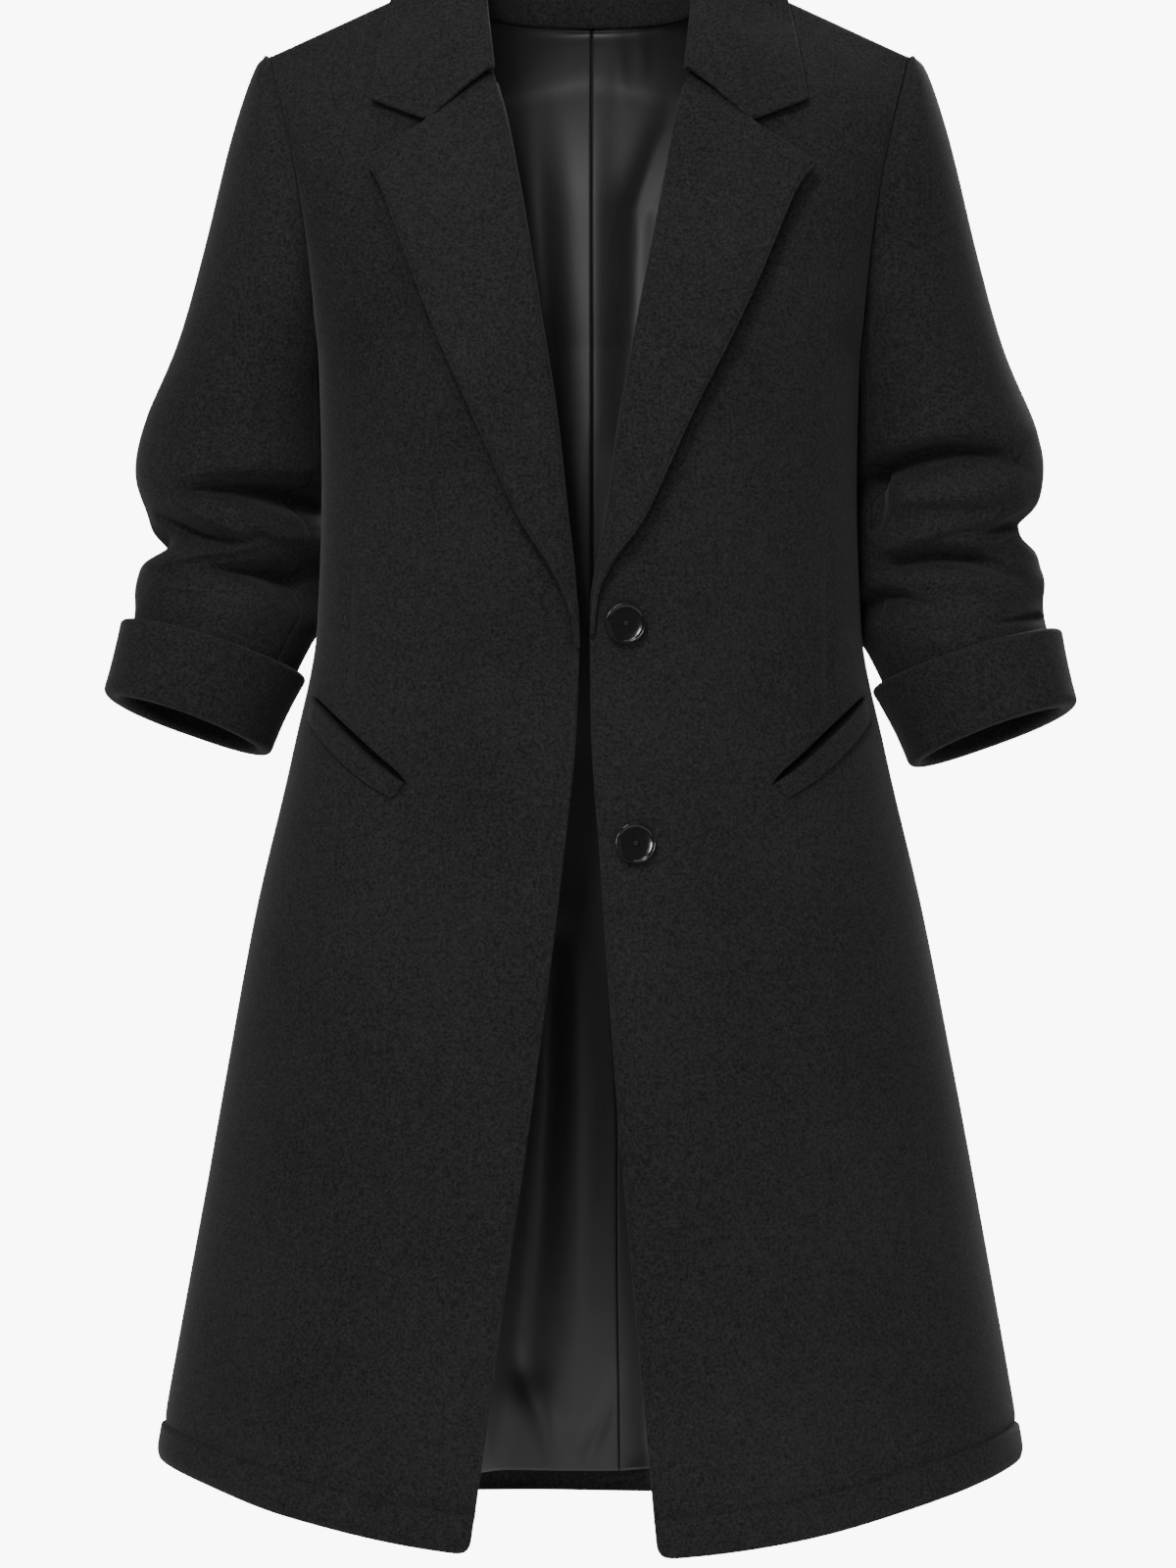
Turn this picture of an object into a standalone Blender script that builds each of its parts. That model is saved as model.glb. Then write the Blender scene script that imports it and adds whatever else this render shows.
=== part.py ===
"""Button-up coat in wool cloth, hollow, filled out as it is worn.

Metres, +Z up, +Y to the back of the coat, +X to the wearer's left.
The origin is level with the shoulder seams, midway between them.
Each piece is one that a maker cuts and sews on, a cloth wall of even thickness.
"""

import math
from collections import namedtuple

import bmesh
import bpy
import numpy as np
from mathutils import Vector

# Driving sizes

CLOTH = 0.0025
LINING = 0.0010
SEAM_GAP = 0.0003
SHOULDER_HALF = 0.2125
NECK_HALF = 0.087
NECK_BACK_Y = 0.079
NECK_BACK_DROP = 0.0275
NECK_ROUND = 2.2
NECK_SQUARE = 0.6
NECK_RAMP = 3.0
FRONT_SWEEP = 2.2
BACK_SWEEP = 1.4
ARMHOLE_GAP = 0.0006

WELT_CLOTH = 0.0022
WELT_LIFT = 0.0010
LAPEL_CLOTH = 0.0030
LAPEL_ROLL_LIFT = 0.0008
LAPEL_EDGE_LIFT = 0.0020
COLLAR_CLOTH = 0.0030
CUFF_CLOTH = 0.0030
LINING_EASE = 0.0025
LINING_NECK_EASE = 0.0020
LINING_HEM = 0.0120
LINING_NECK_ROWS = 4
LINING_TOP = 0.08

BUTTON_RADIUS = 0.0131
BUTTON_DISH_TOP = 0.0027
BUTTON_HOLE = 0.0010
BUTTON_HOLE_PITCH = 0.0038
BUTTON_HOLE_DEEP = 0.02

# Outline of a button from its foot over the rim to the dish: in from the rim, and up.

ButtonRing = namedtuple("ButtonRing", "inset height")

BUTTON_RINGS = [
    ButtonRing(0.0022, 0.0000),
    ButtonRing(0.0006, 0.0009),
    ButtonRing(0.0000, 0.0022),
    ButtonRing(0.0005, 0.0037),
    ButtonRing(0.0014, 0.0042),
    ButtonRing(0.0030, 0.0037),
    ButtonRing(0.0040, 0.0030),
]

# Buttons in front view, and how far each stands off the cloth.

ButtonPlace = namedtuple("ButtonPlace", "name x z lift")

BUTTONS = [
    ButtonPlace("button_upper", 0.0233, -0.4167, 0.0012),
    ButtonPlace("button_lower", 0.0296, -0.5583, 0.0006),
]

# Levels of the body, from the hem up.
# half_width is out to the side seam or armhole; front and back are the depths on
# the centre lines; front_side and back_side are the depths at the outer end.
# curve sets how square the ring is, turn how sharply it turns in at its end,
# front_dip and back_dip how far each centre hangs under the sides, lift how far the
# neck end rises.

Level = namedtuple(
    "Level", "name z half_width front_side back_side front back curve turn front_dip back_dip lift"
)

LEVELS = [
    Level("hem", -0.965, 0.2870, 0.000, 0.000, -0.166, 0.172, 2.10, 2.10, 0.050, 0.044, 0.0),
    Level("knee", -0.840, 0.2650, 0.000, 0.000, -0.157, 0.161, 2.10, 2.10, 0.0395, 0.035, 0.0),
    Level("thigh", -0.715, 0.2425, 0.000, 0.000, -0.148, 0.149, 2.15, 2.15, 0.028, 0.025, 0.0),
    Level("seat", -0.600, 0.2200, 0.000, 0.000, -0.139, 0.137, 2.20, 2.20, 0.016, 0.014, 0.0),
    Level("pocket", -0.500, 0.1965, -0.001, -0.001, -0.130, 0.121, 2.25, 2.25, 0.007, 0.006, 0.0),
    Level("waist", -0.415, 0.1800, -0.003, -0.003, -0.123, 0.103, 2.30, 2.30, 0.001, 0.001, 0.0),
    Level("ribs", -0.325, 0.1772, -0.004, -0.004, -0.125, 0.101, 2.30, 2.30, 0.000, 0.000, 0.0),
    Level("underarm", -0.235, 0.1795, -0.004, -0.004, -0.123, 0.108, 2.30, 2.30, 0.000, 0.000, 0.0),
    Level("armhole_base", -0.222, 0.1805, -0.022, 0.020, -0.121, 0.109, 2.30, 2.10, 0.000, 0.000, 0.001),
    Level("armhole_low", -0.185, 0.1835, -0.038, 0.042, -0.114, 0.109, 2.25, 1.80, 0.000, 0.000, 0.006),
    Level("armhole_mid", -0.130, 0.1908, -0.045, 0.055, -0.096, 0.106, 2.20, 1.60, 0.000, 0.000, 0.018),
    Level("armhole_high", -0.085, 0.2005, -0.036, 0.044, -0.069, 0.095, 2.20, 1.50, 0.000, 0.000, 0.038),
    Level("shoulder", -0.038, 0.2125, -0.004, -0.004, -0.004, -0.004, 2.20, 1.50, 0.000, 0.000, 0.0986),
]

# Centre edge of each front by level: the straight edge under the break, the roll
# line over it, and the neck seam over that. Distance out from the centre line.

FrontEdge = namedtuple("FrontEdge", "z right left")

FRONT_EDGES = [
    FrontEdge(-0.965, 0.0764, 0.0434),
    FrontEdge(-0.820, 0.0550, 0.0294),
    FrontEdge(-0.680, 0.0334, 0.0161),
    FrontEdge(-0.555, 0.0163, 0.0066),
    FrontEdge(-0.475, 0.0079, 0.0013),
    FrontEdge(-0.415, 0.0063, 0.0006),
    FrontEdge(-0.390, 0.0085, 0.0028),
    FrontEdge(-0.310, 0.0173, 0.0151),
    FrontEdge(-0.235, 0.0277, 0.0271),
    FrontEdge(-0.185, 0.0381, 0.0385),
    FrontEdge(-0.130, 0.0480, 0.0510),
    FrontEdge(-0.085, 0.0590, 0.0610),
    FrontEdge(-0.038, 0.0870, 0.0870),
]

# Lapels in front view: the roll line and the free edge, from the break up.

LapelRow = namedtuple("LapelRow", "roll_x roll_z edge_x edge_z")

LAPELS = {
    "right": [
        LapelRow(0.0060, -0.4080, 0.0100, -0.4000),
        LapelRow(0.0085, -0.3900, 0.0240, -0.3790),
        LapelRow(0.0135, -0.3450, 0.0430, -0.3510),
        LapelRow(0.0200, -0.2850, 0.0745, -0.2790),
        LapelRow(0.0305, -0.2180, 0.1050, -0.2070),
        LapelRow(0.0420, -0.1450, 0.1330, -0.1330),
        LapelRow(0.0580, -0.0605, 0.1427, -0.1174),
    ],
    "left": [
        LapelRow(0.0005, -0.4080, 0.0042, -0.4000),
        LapelRow(0.0030, -0.3900, 0.0170, -0.3790),
        LapelRow(0.0105, -0.3450, 0.0335, -0.3510),
        LapelRow(0.0190, -0.2850, 0.0660, -0.2790),
        LapelRow(0.0310, -0.2180, 0.1010, -0.2070),
        LapelRow(0.0450, -0.1450, 0.1330, -0.1330),
        LapelRow(0.0600, -0.0618, 0.1440, -0.1190),
    ],
}

# Welt of each pocket in front view: the mouth edge and the lower edge.

WeltRow = namedtuple("WeltRow", "mouth_x mouth_z lower_x lower_z")

WELT = [
    WeltRow(0.1805, -0.4640, 0.1845, -0.4770),
    WeltRow(0.1700, -0.4765, 0.1745, -0.4905),
    WeltRow(0.1550, -0.4920, 0.1608, -0.5052),
    WeltRow(0.1390, -0.5065, 0.1458, -0.5182),
    WeltRow(0.1205, -0.5195, 0.1283, -0.5297),
]

# Rings of a sleeve after the armhole seam, from the head down, distance out from
# the centre line. outer is the line of the arm's outer side, inner the underside.

SleeveRing = namedtuple("SleeveRing", "outer_x outer_z inner_x inner_z y depth tilt")

SLEEVE_RINGS = [
    SleeveRing(0.2225, -0.0450, 0.1803, -0.2385, 0.012, 0.060, 0.000),
    SleeveRing(0.2385, -0.0910, 0.1800, -0.2500, 0.018, 0.064, 0.000),
    SleeveRing(0.2570, -0.1640, 0.1788, -0.2660, 0.024, 0.067, 0.000),
    SleeveRing(0.2745, -0.2260, 0.1778, -0.2850, 0.028, 0.068, 0.000),
    SleeveRing(0.2935, -0.2760, 0.1773, -0.3080, 0.030, 0.067, 0.000),
    SleeveRing(0.3005, -0.3120, 0.1770, -0.3300, 0.030, 0.066, 0.001),
    SleeveRing(0.2985, -0.3520, 0.1775, -0.3580, 0.027, 0.063, 0.002),
    SleeveRing(0.3000, -0.3860, 0.1785, -0.3920, 0.022, 0.060, 0.004),
    SleeveRing(0.3020, -0.4050, 0.1865, -0.4240, 0.017, 0.058, 0.005),
    SleeveRing(0.3050, -0.4180, 0.1972, -0.4460, 0.014, 0.056, 0.006),
    SleeveRing(0.3105, -0.4390, 0.2055, -0.4720, 0.010, 0.054, 0.007),
    SleeveRing(0.3158, -0.4590, 0.2142, -0.4970, 0.006, 0.052, 0.008),
]

# How each arm hangs: how much longer its sleeve falls, and how much further out its
# outer side and its underside stand.

SleevePose = namedtuple("SleevePose", "stretch outer inner")

SLEEVE_POSES = {
    "right": SleevePose(1.000, 0.0000, 0.0000),
    "left": SleevePose(1.016, 0.0035, 0.0010),
}

# Folds where the sleeves are pushed up. angle runs from the outer side (0) by the
# front (90) to the underside (180) and the back (270); depth below zero is a trough.

Fold = namedtuple("Fold", "z angle spread width depth slant")

SLEEVE_FOLDS = {
    "right": [
        Fold(-0.328, 135, 75, 0.011, -0.012, 0.000),
        Fold(-0.346, 95, 60, 0.010, 0.005, 0.006),
        Fold(-0.356, 5, 70, 0.010, -0.018, 0.004),
        Fold(-0.380, 135, 72, 0.010, -0.011, 0.004),
        Fold(-0.400, 20, 80, 0.014, 0.003, 0.000),
        Fold(-0.332, 245, 70, 0.011, -0.011, 0.000),
        Fold(-0.372, 285, 70, 0.011, -0.010, 0.000),
    ],
    "left": [
        Fold(-0.305, 110, 85, 0.011, -0.009, 0.000),
        Fold(-0.330, 80, 80, 0.012, 0.005, 0.000),
        Fold(-0.352, 0, 55, 0.010, -0.018, 0.000),
        Fold(-0.374, 95, 75, 0.009, -0.010, 0.000),
        Fold(-0.398, 150, 45, 0.009, -0.009, 0.006),
        Fold(-0.335, 250, 70, 0.011, -0.011, 0.000),
        Fold(-0.376, 280, 70, 0.011, -0.010, 0.000),
    ],
}

UPPER_FROM = -110.0
UPPER_TO = 142.0
CUFF_FROM_RING = 9.9
CUFF_FLARE = 0.0045
CUFF_LIFT = 0.0006
SEAM_TURN = 0.14

# Collar from the centre back to its front end, at the wearer's left: the seam at
# the neck, the roll, the middle of the fall and the free edge.

CollarRow = namedtuple("CollarRow", "seam roll fall edge")

COLLAR = [
    CollarRow(
        (0.0, 0.0755, -0.0060), (0.0, 0.0750, 0.0330),
        (0.0, 0.0905, 0.0100), (0.0, 0.0980, -0.0330),
    ),
    CollarRow(
        (0.0385, 0.0665, -0.0028), (0.0350, 0.0680, 0.0350),
        (0.0455, 0.0840, 0.0110), (0.0550, 0.0940, -0.0320),
    ),
    CollarRow(
        (0.0620, 0.0450, 0.0050), (0.0545, 0.0470, 0.0400),
        (0.0750, 0.0570, 0.0170), (0.0930, 0.0660, -0.0270),
    ),
    CollarRow(
        (0.0765, 0.0215, 0.0135), (0.0660, 0.0200, 0.0420),
        (0.0930, 0.0250, 0.0230), (0.1180, 0.0300, -0.0090),
    ),
    CollarRow(
        (0.0820, -0.0060, 0.0190), (0.0690, -0.0060, 0.0330),
        (0.0970, -0.0090, 0.0240), (0.1285, -0.0080, 0.0065),
    ),
    CollarRow(
        (0.0690, -0.0340, -0.0160), (0.0645, -0.0340, -0.0050),
        (0.0990, -0.0355, -0.0085), (0.1345, -0.0265, -0.0165),
    ),
    CollarRow(
        (0.0615, -0.0485, -0.0365), (0.0625, -0.0540, -0.0300),
        (0.1020, -0.0640, -0.0450), (0.1390, -0.0490, -0.0440),
    ),
    CollarRow(
        (0.0545, -0.0640, -0.0565), (0.0575, -0.0735, -0.0565),
        (0.1055, -0.0820, -0.0885), (0.1435, -0.0655, -0.0720),
    ),
]
COLLAR_HOLLOW = 0.0010
COLLAR_FOLD_OUT = 0.0036
COLLAR_FOLD_UP = 0.00135
COLLAR_BREAK = 0.40
COLLAR_PUFF = 0.00225

# Mesh steps

FRONT_STEPS = (12, 20)
BACK_STEPS = (16, 18)
SLEEVE_UPPER_STEPS = 12
SLEEVE_UNDER_STEPS = 5
SLEEVE_ROWS = np.concatenate([np.linspace(0, 5, 7), np.linspace(5.4, 9.3, 12), np.linspace(9.9, 12.0, 4)])
LAPEL_STEPS = (4, 9)
COLLAR_STEPS = 22
COLLAR_STOPS = np.array([0.0, 0.16, 0.34, 0.44, 0.60, 0.78, 1.0])
WELT_STEPS = (2, 5)
BUTTON_STEPS = 40
HOLE_STEPS = 12
HALVINGS = 40
PROBE = 0.002
SLOPE_STEP = 0.0001
LEAST = 1e-12

# Points inside the body, a sleeve and the collar, that their cloth faces away from

BODY_MIDDLE = np.array([0.0, 0.0, -0.4])
SLEEVE_MIDDLE = np.array([0.24, 0.02, -0.27])
COLLAR_MIDDLE = np.array([0.0, 0.02, 0.0])


def smooth(at, values, where):
    """Smooth monotone curve through table values at uneven places."""
    at = np.asarray(at, float)
    values = np.asarray(values, float)
    where = np.clip(np.asarray(where, float), at[0], at[-1])
    step = np.diff(at)
    slope = np.diff(values) / step
    tangent = np.empty_like(values)
    tangent[0] = slope[0]
    tangent[-1] = slope[-1]
    for i in range(1, len(values) - 1):
        near = slope[i - 1]
        far = slope[i]
        if near * far <= 0:
            tangent[i] = 0.0
        else:
            low = 2 * step[i] + step[i - 1]
            high = step[i] + 2 * step[i - 1]
            tangent[i] = (low + high) / (low / near + high / far)
    i = np.clip(np.searchsorted(at, where, side="right") - 1, 0, len(at) - 2)
    run = step[i]
    f = (where - at[i]) / run
    return (
        (1 + 2 * f) * (1 - f) ** 2 * values[i]
        + f * (1 - f) ** 2 * run * tangent[i]
        + f * f * (3 - 2 * f) * values[i + 1]
        + f * f * (f - 1) * run * tangent[i + 1]
    )


def column(table, name):
    return [getattr(row, name) for row in table]


HEIGHTS = column(LEVELS, "z")
UNDERARM = next(row.z for row in LEVELS if row.name == "underarm")


def level(name, height):
    return smooth(HEIGHTS, column(LEVELS, name), height)


def power(base, exponent):
    return np.sign(base) * np.abs(base) ** exponent


def body(face, height, angle):
    """Outer skin of the body; angle runs from the centre line to the side seam."""
    height, angle = np.broadcast_arrays(height, angle)
    prefix = "front" if face < 0 else "back"
    side_depth = level(prefix + "_side", height)
    depth = level(prefix, height)
    turned = power(np.cos(angle), 2 / level("turn", height))
    x = level("half_width", height) * power(np.sin(angle), 2 / level("curve", height))
    y = side_depth + (depth - side_depth) * turned
    sweep = FRONT_SWEEP if face < 0 else BACK_SWEEP
    drop = level(prefix + "_dip", height) * np.abs(np.cos(angle)) ** sweep
    rise = level("lift", height) * (1 - np.abs(x) / SHOULDER_HALF)
    return np.stack([x, y, height - drop + rise], axis=-1)


def angle_at(height, x):
    share = np.clip(np.abs(x) / level("half_width", height), 0, 1)
    return np.arcsin(share ** (level("curve", height) / 2))


def front_skin(side, height, across):
    """Front panel; across runs from its centre edge (0) to the side seam (1)."""
    height, across = np.broadcast_arrays(height, across)
    name = "right" if side < 0 else "left"
    edge = smooth(column(FRONT_EDGES, "z"), column(FRONT_EDGES, name), height)
    start = angle_at(height, edge)
    point = body(-1, height, start + (math.pi / 2 - start) * across)
    point[..., 0] *= side
    point[..., 1] -= SEAM_GAP / 2
    return point


def front_at(side, x, z):
    """Point of the front's outer skin seen at x, z from the front."""
    x, z = np.broadcast_arrays(np.asarray(x, float), np.asarray(z, float))
    low = np.full(x.shape, HEIGHTS[0])
    high = np.full(x.shape, HEIGHTS[-1])
    for _ in range(HALVINGS):
        middle = (low + high) / 2
        above = body(-1, middle, angle_at(middle, x))[..., 2] > z
        high = np.where(above, middle, high)
        low = np.where(above, low, middle)
    point = body(-1, low, angle_at(low, x))
    point[..., 0] *= side
    return point


def front_lifted(side, x, z, lift):
    """Same, moved out along the cloth's normal."""
    x, z, lift = np.broadcast_arrays(np.asarray(x, float), np.asarray(z, float), np.asarray(lift, float))
    along_x = front_at(side, x + PROBE, z) - front_at(side, x - PROBE, z)
    along_z = front_at(side, x, z + PROBE) - front_at(side, x, z - PROBE)
    normal = side * np.cross(along_x, along_z)
    normal /= np.linalg.norm(normal, axis=-1, keepdims=True)
    return front_at(side, x, z) + normal * lift[..., None]


def back_skin(height, across):
    """Back panel; across runs from the right side seam (-1) to the left (1)."""
    height, across = np.broadcast_arrays(height, across)
    point = body(1, height, across * math.pi / 2)
    top = np.clip((height - HEIGHTS[-2]) / (HEIGHTS[-1] - HEIGHTS[-2]), 0, 1)
    ramp = np.clip(top * NECK_RAMP, 0, 1)
    ramp = ramp * ramp * (3 - 2 * ramp)
    x = point[..., 0]
    share = np.clip(np.abs(x) / NECK_HALF, 0, 1)
    hollow = (1 - share ** NECK_ROUND) ** NECK_SQUARE
    neck_y = LEVELS[-2].back + (NECK_BACK_Y - LEVELS[-2].back) * top
    point[..., 1] += ramp * hollow * (neck_y - point[..., 1])
    rise = LEVELS[-1].lift / SHOULDER_HALF
    fall = rise * np.maximum(NECK_HALF - np.abs(x), 0) + NECK_BACK_DROP * hollow
    point[..., 2] -= top * fall
    point[..., 1] += SEAM_GAP / 2
    return point


def armhole(angle):
    """Armhole seam; angle as for the sleeve folds, in degrees."""
    turn = np.radians(angle)
    high = HEIGHTS[-1]
    height = (high + UNDERARM) / 2 + (high - UNDERARM) / 2 * np.cos(turn)
    front = body(-1, height, np.full(height.shape, math.pi / 2))
    back = body(1, height, np.full(height.shape, math.pi / 2))
    return np.where((np.sin(turn) >= 0)[..., None], front, back)


def ring_point(ring, angle):
    turn = np.radians(angle)
    x = (ring.outer_x + ring.inner_x) / 2 + (ring.outer_x - ring.inner_x) / 2 * np.cos(turn)
    z = (ring.outer_z + ring.inner_z) / 2 + (ring.outer_z - ring.inner_z) / 2 * np.cos(turn)
    y = ring.y - ring.depth * np.sin(turn)
    return np.stack([x, y, z + ring.tilt * np.sin(turn)], axis=-1)


def posed_rings(pose):
    return [
        ring._replace(
            outer_x=ring.outer_x + pose.outer,
            inner_x=ring.inner_x + pose.inner,
            outer_z=ring.outer_z * pose.stretch,
            inner_z=ring.inner_z * pose.stretch,
        )
        for ring in SLEEVE_RINGS
    ]


def sleeve_skin(side, along, angle):
    """Outer skin of a sleeve; along is counted in rings from the armhole seam."""
    along, angle = np.broadcast_arrays(np.asarray(along, float), np.asarray(angle, float))
    name = "right" if side < 0 else "left"
    posed = posed_rings(SLEEVE_POSES[name])
    rings = [armhole(angle) + np.array([ARMHOLE_GAP, 0, 0])]
    rings += [ring_point(ring, angle) for ring in posed]
    rings = np.array(rings)
    head = armhole(np.array([0.0, 180.0])).mean(axis=0)
    axes = np.array([head] + [
        [(r.outer_x + r.inner_x) / 2, r.y, (r.outer_z + r.inner_z) / 2] for r in posed
    ])
    places = np.arange(len(rings))
    axis = np.stack([smooth(places, axes[:, k], along) for k in range(3)], axis=-1)
    i = np.clip(np.floor(along).astype(int), 0, len(rings) - 2)
    f = (along - i)[..., None]

    def pick(index):
        return np.take_along_axis(rings, index[None, ..., None], axis=0)[0]

    near = pick(i)
    far = pick(i + 1)
    last = len(rings) - 1
    into = (far - pick(np.maximum(i - 1, 0))) / np.where(i == 0, 1, 2)[..., None]
    out = (pick(np.minimum(i + 2, last)) - near) / np.where(i + 1 == last, 1, 2)[..., None]
    point = (
        (1 + 2 * f) * (1 - f) ** 2 * near
        + f * (1 - f) ** 2 * into
        + f * f * (3 - 2 * f) * far
        + f * f * (f - 1) * out
    )
    away = point - axis
    away /= np.linalg.norm(away, axis=-1, keepdims=True)
    height = axis[..., 2]
    move = np.zeros(height.shape)
    for fold in SLEEVE_FOLDS[name]:
        turn = (angle - fold.angle + 180) % 360 - 180
        reach = np.clip(np.abs(turn) / fold.spread, 0, 1)
        offset = (height - fold.z - fold.slant * np.radians(turn)) / fold.width
        move += fold.depth * np.exp(-offset ** 2) * np.cos(reach * math.pi / 2) ** 2
    point = point + away * move[..., None]
    point[..., 0] *= side
    return point


def lapel_skin(side, across, along, lift):
    """Lapel over the front; across from the roll (0) to its edge (1), along from the break."""
    rows = LAPELS["right" if side < 0 else "left"]
    places = np.linspace(0, 1, len(rows))
    roll_x = smooth(places, column(rows, "roll_x"), along)
    roll_z = smooth(places, column(rows, "roll_z"), along)
    edge_x = smooth(places, column(rows, "edge_x"), along)
    edge_z = smooth(places, column(rows, "edge_z"), along)
    x = roll_x + (edge_x - roll_x) * across
    z = roll_z + (edge_z - roll_z) * across
    return front_lifted(side, x, z, lift)


def welt_skin(side, across, along, lift):
    places = np.linspace(0, 1, len(WELT))
    mouth_x = smooth(places, column(WELT, "mouth_x"), along)
    mouth_z = smooth(places, column(WELT, "mouth_z"), along)
    lower_x = smooth(places, column(WELT, "lower_x"), along)
    lower_z = smooth(places, column(WELT, "lower_z"), along)
    x = mouth_x + (lower_x - mouth_x) * across
    z = mouth_z + (lower_z - mouth_z) * across
    return front_lifted(side, x, z, lift)


def collar_skin(around, across):
    """Collar; around runs from the right end (-1) by the back (0) to the left end (1)."""
    around, across = np.broadcast_arrays(np.asarray(around, float), np.asarray(across, float))
    places = np.linspace(0, 1, len(COLLAR))
    reach = np.abs(around)

    def line(name):
        values = np.array([getattr(row, name) for row in COLLAR])
        return np.stack([smooth(places, values[:, k], reach) for k in range(3)], axis=-1)

    seam = line("seam")
    roll = line("roll")
    fall = line("fall")
    edge = line("edge")
    out = fall - roll
    out[..., 2] = 0
    out /= np.linalg.norm(out, axis=-1, keepdims=True)
    up = np.array([0.0, 0.0, 1.0])
    stand = (seam + roll) / 2 - out * COLLAR_HOLLOW
    crown = roll + out * COLLAR_FOLD_OUT + up * COLLAR_FOLD_UP
    shoulder = roll + (fall - roll) * COLLAR_BREAK + (out + up) * COLLAR_PUFF
    knots = np.array([seam, stand, roll, crown, shoulder, fall, edge])
    i = np.clip(np.searchsorted(COLLAR_STOPS, across, side="right") - 1, 0, len(COLLAR_STOPS) - 2)
    f = ((across - COLLAR_STOPS[i]) / (COLLAR_STOPS[i + 1] - COLLAR_STOPS[i]))[..., None]
    near = np.take_along_axis(knots, i[None, ..., None], axis=0)[0]
    far = np.take_along_axis(knots, (i + 1)[None, ..., None], axis=0)[0]
    point = near * (1 - f) + far * f
    point[..., 0] *= np.where(around < 0, -1, 1)
    return point


def normals_of(skin, us, vs, outward):
    """Unit normals of a skin over a grid, on the side of the outward points."""
    u, v = np.meshgrid(us, vs)
    span_u = (us[-1] - us[0]) * SLOPE_STEP
    span_v = (vs[-1] - vs[0]) * SLOPE_STEP
    across = skin(u + span_u, v) - skin(u - span_u, v)
    along = skin(u, v + span_v) - skin(u, v - span_v)
    normal = np.cross(across, along)
    normal /= np.maximum(np.linalg.norm(normal, axis=-1, keepdims=True), LEAST)
    point = skin(u, v)
    if np.mean(np.sum(normal * (point - outward), axis=-1)) < 0:
        normal = -normal
    return point, normal


def paint(item, colour, roughness, sheen, metallic=0.0):
    stuff = bpy.data.materials.new(item.name)
    stuff.use_nodes = True
    shader = stuff.node_tree.nodes["Principled BSDF"]
    shader.inputs["Base Color"].default_value = (*colour, 1.0)
    shader.inputs["Roughness"].default_value = roughness
    shader.inputs["Metallic"].default_value = metallic
    shader.inputs["Sheen Weight"].default_value = sheen
    stuff.diffuse_color = (*colour, 1.0)
    item.data.materials.append(stuff)


def wool(item):
    paint(item, (0.017, 0.017, 0.018), 0.92, 0.25)


def satin(item):
    paint(item, (0.045, 0.045, 0.047), 0.42, 0.10)


def gloss(item):
    paint(item, (0.008, 0.008, 0.009), 0.22, 0.0)


def add_item(name, work):
    bmesh.ops.recalc_face_normals(work, faces=work.faces)
    mesh = bpy.data.meshes.new(name)
    work.to_mesh(mesh)
    work.free()
    item = bpy.data.objects.new(name, mesh)
    bpy.context.scene.collection.objects.link(item)
    bpy.context.view_layer.objects.active = item
    for face in mesh.polygons:
        face.use_smooth = True
    return item


def wall(name, outer, inner, closed=False):
    """Closed cloth wall between two grids of points, open or joined round."""
    work = bmesh.new()
    skins = [[[work.verts.new(point) for point in row] for row in skin] for skin in (outer, inner)]
    rows = len(outer)
    columns = len(outer[0])
    span = columns if closed else columns - 1
    for skin in skins:
        for r in range(rows - 1):
            for c in range(span):
                d = (c + 1) % columns
                work.faces.new((skin[r][c], skin[r][d], skin[r + 1][d], skin[r + 1][c]))
    first, second = skins
    for r in (0, rows - 1):
        for c in range(span):
            d = (c + 1) % columns
            work.faces.new((first[r][c], first[r][d], second[r][d], second[r][c]))
    if not closed:
        for c in (0, columns - 1):
            for r in range(rows - 1):
                work.faces.new((first[r][c], first[r + 1][c], second[r + 1][c], second[r][c]))
    return add_item(name, work)


for old in list(bpy.data.objects):
    bpy.data.objects.remove(old, do_unlink=True)

SHOULDER_UP = np.array([LEVELS[-1].lift / SHOULDER_HALF, 0.0, 1.0])
SHOULDER_UP /= np.linalg.norm(SHOULDER_UP)

# Fronts, from the shoulder seam to the hem, each with its centre edge

rows_front = np.linspace(HEIGHTS[0], HEIGHTS[-1], FRONT_STEPS[1] + 1)
for side, name in ((-1, "front_right"), (1, "front_left")):
    grid, normal = normals_of(
        lambda u, v: front_skin(side, v, u), np.linspace(0, 1, FRONT_STEPS[0] + 1), rows_front, BODY_MIDDLE
    )
    normal[-1] = SHOULDER_UP * np.array([side, 1, 1])
    wool(wall(name, grid, grid - normal * CLOTH))

# Back, one plain panel between the side seams

back_turns = np.linspace(-1, 1, BACK_STEPS[0] + 1)
back_rows = np.linspace(HEIGHTS[0], HEIGHTS[-1], BACK_STEPS[1] + 1)
back_grid, back_normal = normals_of(lambda u, v: back_skin(v, u), back_turns, back_rows, BODY_MIDDLE)
for c, point in enumerate(back_grid[-1]):
    if abs(point[0]) > NECK_HALF:
        back_normal[-1, c] = SHOULDER_UP * np.array([np.sign(point[0]), 1, 1])
wool(wall("back", back_grid, back_grid - back_normal * CLOTH))

# Sleeves of two pieces, joined at the front and back seams, with the cuff turned back

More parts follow.
